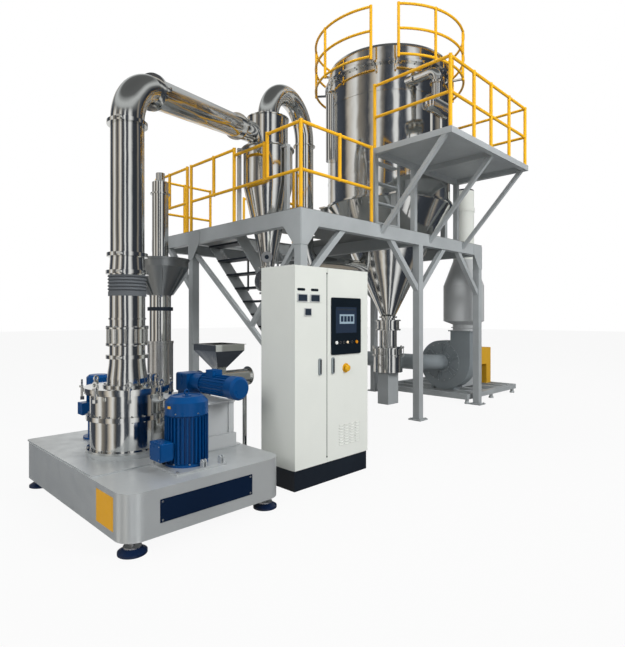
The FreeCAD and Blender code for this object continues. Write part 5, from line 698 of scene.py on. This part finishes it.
def put_louvres():
    """Eight rows of four pressed louvres."""
    first_x, first_z = -2.4025, 0.557
    pitch_x, pitch_z = 0.087, 0.029
    louvres = Fitting("louvre_hoods")
    for i in range(8):
        for k in range(4):
            place = on_door(first_x + pitch_x * k, first_z - pitch_z * i)
            put_louvre(louvres, place, width=0.071, height=0.014, out=0.007)
    louvres.done("right_leaf")


def put_lenses():
    """Dark lenses in three of the rings under the screen."""
    rings_z, ring_proud = 1.426, 0.022
    lens = button(0.0095, 0.0008, 0.0085, 0.0014, 20)
    lenses = Fitting("lamp_lenses")
    for x in (-2.434, -2.377, -2.249):
        lenses.put(lens, on_door(x, rings_z, ring_proud), "black")
    lenses.done("right_leaf")


def inlay_handles():
    """Dark inlays of the two swing handles."""
    grip_z, grip_proud = 1.190, 0.0164
    strip = plate(0.018, 0.146, 0.0015, 0.009)
    for name, body, x in (("left_handle_inlay", "left_grip", -2.725),
                          ("right_handle_inlay", "right_grip", -2.532)):
        inlay = Fitting(name)
        inlay.put(strip, on_door(x, grip_z, grip_proud), "black")
        inlay.done(body)


# Cyclone, filter, fan and platform
def bolt_ducts():
    """Flange bolts of the cyclone and of the filter."""
    bolts = Fitting("duct_bolts")
    bolt_circles(bolts, CYCLONE, (
        (4.200, 0.385, 20, 0.016, UP), (4.660, 0.309, 16, 0.014, UP), (4.676, 0.173, 10, 0.014, UP)))
    bolt_circles(bolts, FILTER, (
        (6.150, 1.207, 48, 0.024, UP), (6.110, 1.207, 48, 0.024, DOWN),
        (1.634, 0.230, 16, 0.016, UP), (1.437, 0.230, 16, 0.016, DOWN)))
    bolts.done("plant")


def dress_fan():
    """Bolts of the fan's side cover and inlet, and the ribs of the cover."""
    cover_x, inlet_x = FAN.x - 0.164, FAN.x - 0.180
    rib = plate(0.170, 0.008, 0.026, 0.001, 0.002)
    ribs_r, first_rib = 0.290, math.radians(15)
    fittings = Fitting("fan_bolts")
    bolt_circle(fittings, (cover_x, FAN.y, FAN.z), 0.386, 18, 0.014, axis=LEFT)
    bolt_circle(fittings, (inlet_x, FAN.y, FAN.z), 0.195, 12, 0.014, axis=LEFT)
    for step in angles(6):
        angle = first_rib + step
        along, up = polar(ribs_r, angle)
        fittings.put(rib, facing((cover_x, FAN.y - along, FAN.z + up), LEFT, angle), "fan")
    fittings.done("plant")


def put_port_lens():
    """Dark lens in the sight port of the cyclone's cone."""
    out = Vector((-1, -1, 0)).normalized()
    reach, height = 0.181, 2.575
    place = CYCLONE + out * reach + Vector((0, 0, height))
    port = Fitting("port_lens")
    lens = lathe([(0, 0), (0.032, 0), (0.032, 0.002), (0.026, 0.005), (0, 0.006)], 28)
    port.put(lens, facing(place, out), "glass")
    port.done("plant")


def bolt_columns():
    """Four bolts in the foot of each platform column."""
    foot_t, reach = 0.020, 0.087
    bolt = hex_bolt(across=0.024, height=0.014)
    bolts = Fitting("column_bolts")
    for column_x in (-1.96, 0.71, 2.77):
        for column_y in (-1.285, 1.235):
            for x in (column_x - reach, column_x + reach):
                for y in (column_y - reach, column_y + reach):
                    bolts.put(bolt, Matrix.Translation((x, y, foot_t)), "zinc")
    bolts.done("plant")


# Studio
FLOOR_REACH = 60.0
FLOOR_GREY = 0.42
FLOOR_GLOW = 0.93
AMBIENT = 0.34

# What metal mirrors: brightness of the room over a full turn
BANDS = [(0.00, 0.06), (0.032, 0.62), (0.056, 0.85), (0.072, 0.20), (0.09, 0.05), (0.122, 0.10),
         (0.13, 0.85), (0.148, 0.95), (0.156, 0.08), (0.19, 0.06), (0.205, 0.85), (0.235, 0.90),
         (0.28, 0.05), (0.36, 0.04), (0.375, 0.20), (0.395, 0.28), (0.405, 0.08), (0.49, 0.03),
         (0.52, 0.22), (0.535, 0.06), (0.61, 0.05), (0.64, 0.70), (0.70, 0.85), (0.71, 0.15),
         (0.735, 0.50), (0.765, 0.75), (0.775, 0.10), (0.86, 0.05), (0.88, 0.45), (0.93, 0.90),
         (0.95, 0.25), (1.00, 0.06)]

# The same over the height of a direction, and the heights between which the ceiling takes over
CEILING = [(0.45, 0.26), (0.55, 0.22), (0.62, 0.50), (0.70, 0.55), (0.82, 0.13), (1.00, 0.11)]
CEILING_RANGE = (0.45, 0.60)

# Softboxes: name, place, target, size and watts
SOFTBOXES = (
    ("key", (1.0, -12.0, 8.0), (-1.0, -0.5, 2.0), (4.0, 6.0), 1040),
    ("fill", (-12.0, -5.0, 6.0), (-1.0, 0.0, 2.0), (5.0, 5.0), 530),
    ("top", (0.0, 1.0, 13.0), (0.0, 0.0, 0.0), (9.0, 6.0), 1000),
)


def make_floor():
    """Pale floor that the camera sees nearly white and that keeps the plant's shadow."""
    mesh = bpy.data.meshes.new("floor")
    corners = [(FLOOR_REACH * x, FLOOR_REACH * y, 0) for x, y in ((-1, -1), (1, -1), (1, 1), (-1, 1))]
    mesh.from_pydata(corners, [], [(0, 1, 2, 3)])
    floor = bpy.data.objects.new("floor", mesh)
    bpy.context.scene.collection.objects.link(floor)
    material = bpy.data.materials.new("floor")
    material.use_nodes = True
    tree = material.node_tree
    bsdf = tree.nodes["Principled BSDF"]
    bsdf.inputs["Base Color"].default_value = (FLOOR_GREY, FLOOR_GREY, FLOOR_GREY, 1)
    bsdf.inputs["Roughness"].default_value = 0.8
    glow = tree.nodes.new("ShaderNodeEmission")
    glow.inputs["Color"].default_value = (1, 1, 1, 1)
    path = tree.nodes.new("ShaderNodeLightPath")
    seen = calculate(tree, "MULTIPLY", path.outputs["Is Camera Ray"], FLOOR_GLOW)
    surface = mix_shaders(tree, seen, bsdf.outputs[0], glow.outputs[0])
    tree.links.new(surface, tree.nodes["Material Output"].inputs["Surface"])
    mesh.materials.append(material)
    floor.visible_glossy = False


def band_colour(value):
    """Brightness as a colour: cool in the dark, warm in the middle, plain when bright."""
    if value < 0.15:
        tint = (0.85, 0.97, 1.20)
    elif value < 0.65:
        tint = (1.12, 1.0, 0.84)
    else:
        tint = (1.0, 1.0, 0.99)
    return shade(tint, value)


def make_world():
    """White backdrop for the camera, even light, and a banded room for what metal mirrors."""
    world = bpy.data.worlds.new("studio")
    bpy.context.scene.world = world
    world.use_nodes = True
    tree = world.node_tree
    plain = tree.nodes["Background"]
    white = tree.nodes.new("ShaderNodeBackground")
    room = tree.nodes.new("ShaderNodeBackground")
    plain.inputs["Strength"].default_value = AMBIENT
    for background in (plain, white):
        background.inputs["Color"].default_value = (1, 1, 1, 1)
    coords = tree.nodes.new("ShaderNodeTexCoord")
    split = tree.nodes.new("ShaderNodeSeparateXYZ")
    tree.links.new(coords.outputs["Generated"], split.inputs[0])
    turn = calculate(tree, "ARCTAN2", split.outputs["Y"], split.outputs["X"])
    around = remap(tree, turn, (-math.pi, math.pi))
    height = split.outputs["Z"]
    blend = tree.nodes.new("ShaderNodeMix")
    blend.data_type = "RGBA"
    tree.links.new(remap(tree, height, CEILING_RANGE), blend.inputs["Factor"])
    bands = [(place, band_colour(value)) for place, value in BANDS]
    tree.links.new(ramp(tree, around, bands), blend.inputs["A"])
    ceiling = [(place, shade((0.97, 1.0, 1.0), value)) for place, value in CEILING]
    tree.links.new(ramp(tree, height, ceiling), blend.inputs["B"])
    tree.links.new(blend.outputs["Result"], room.inputs["Color"])
    path = tree.nodes.new("ShaderNodeLightPath").outputs
    light = mix_shaders(tree, path["Is Glossy Ray"], plain.outputs[0], room.outputs[0])
    seen = calculate(tree, "MAXIMUM", path["Is Camera Ray"], path["Is Transmission Ray"])
    surface = mix_shaders(tree, seen, light, white.outputs[0])
    tree.links.new(surface, tree.nodes["World Output"].inputs["Surface"])


def add_softbox(name, place, target, size, watts):
    """Soft light that metal doesn't mirror."""
    light = bpy.data.lights.new(name, "AREA")
    light.shape = "RECTANGLE"
    light.size, light.size_y = size
    light.energy = watts
    lamp = bpy.data.objects.new(name, light)
    bpy.context.scene.collection.objects.link(lamp)
    aim = Vector(target) - Vector(place)
    lamp.location = place
    lamp.rotation_euler = aim.to_track_quat("-Z", "Y").to_euler()
    lamp.visible_glossy = False


def make_camera():
    data = bpy.data.cameras.new("camera")
    data.sensor_width = SENSOR
    data.lens = FOCAL_PX / PHOTO_H * SENSOR
    data.shift_y = -(PHOTO_H / 2 - HORIZON_V) / PHOTO_H
    data.clip_end = 200
    camera = bpy.data.objects.new("camera", data)
    camera.location = EYE
    camera.rotation_euler = (math.radians(90), 0, math.radians(HEADING - 90))
    bpy.context.scene.collection.objects.link(camera)
    bpy.context.scene.camera = camera


def main():
    bpy.context.scene.view_settings.view_transform = "Standard"
    make_camera()
    make_world()
    for softbox in SOFTBOXES:
        add_softbox(*softbox)
    make_floor()
    finish_nodes()
    bolt_mill()
    mark_base()
    dress_main_motor()
    dress_left_door()
    dress_screen()
    put_louvres()
    put_lenses()
    inlay_handles()
    bolt_ducts()
    dress_fan()
    put_port_lens()
    bolt_columns()
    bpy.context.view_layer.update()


main()
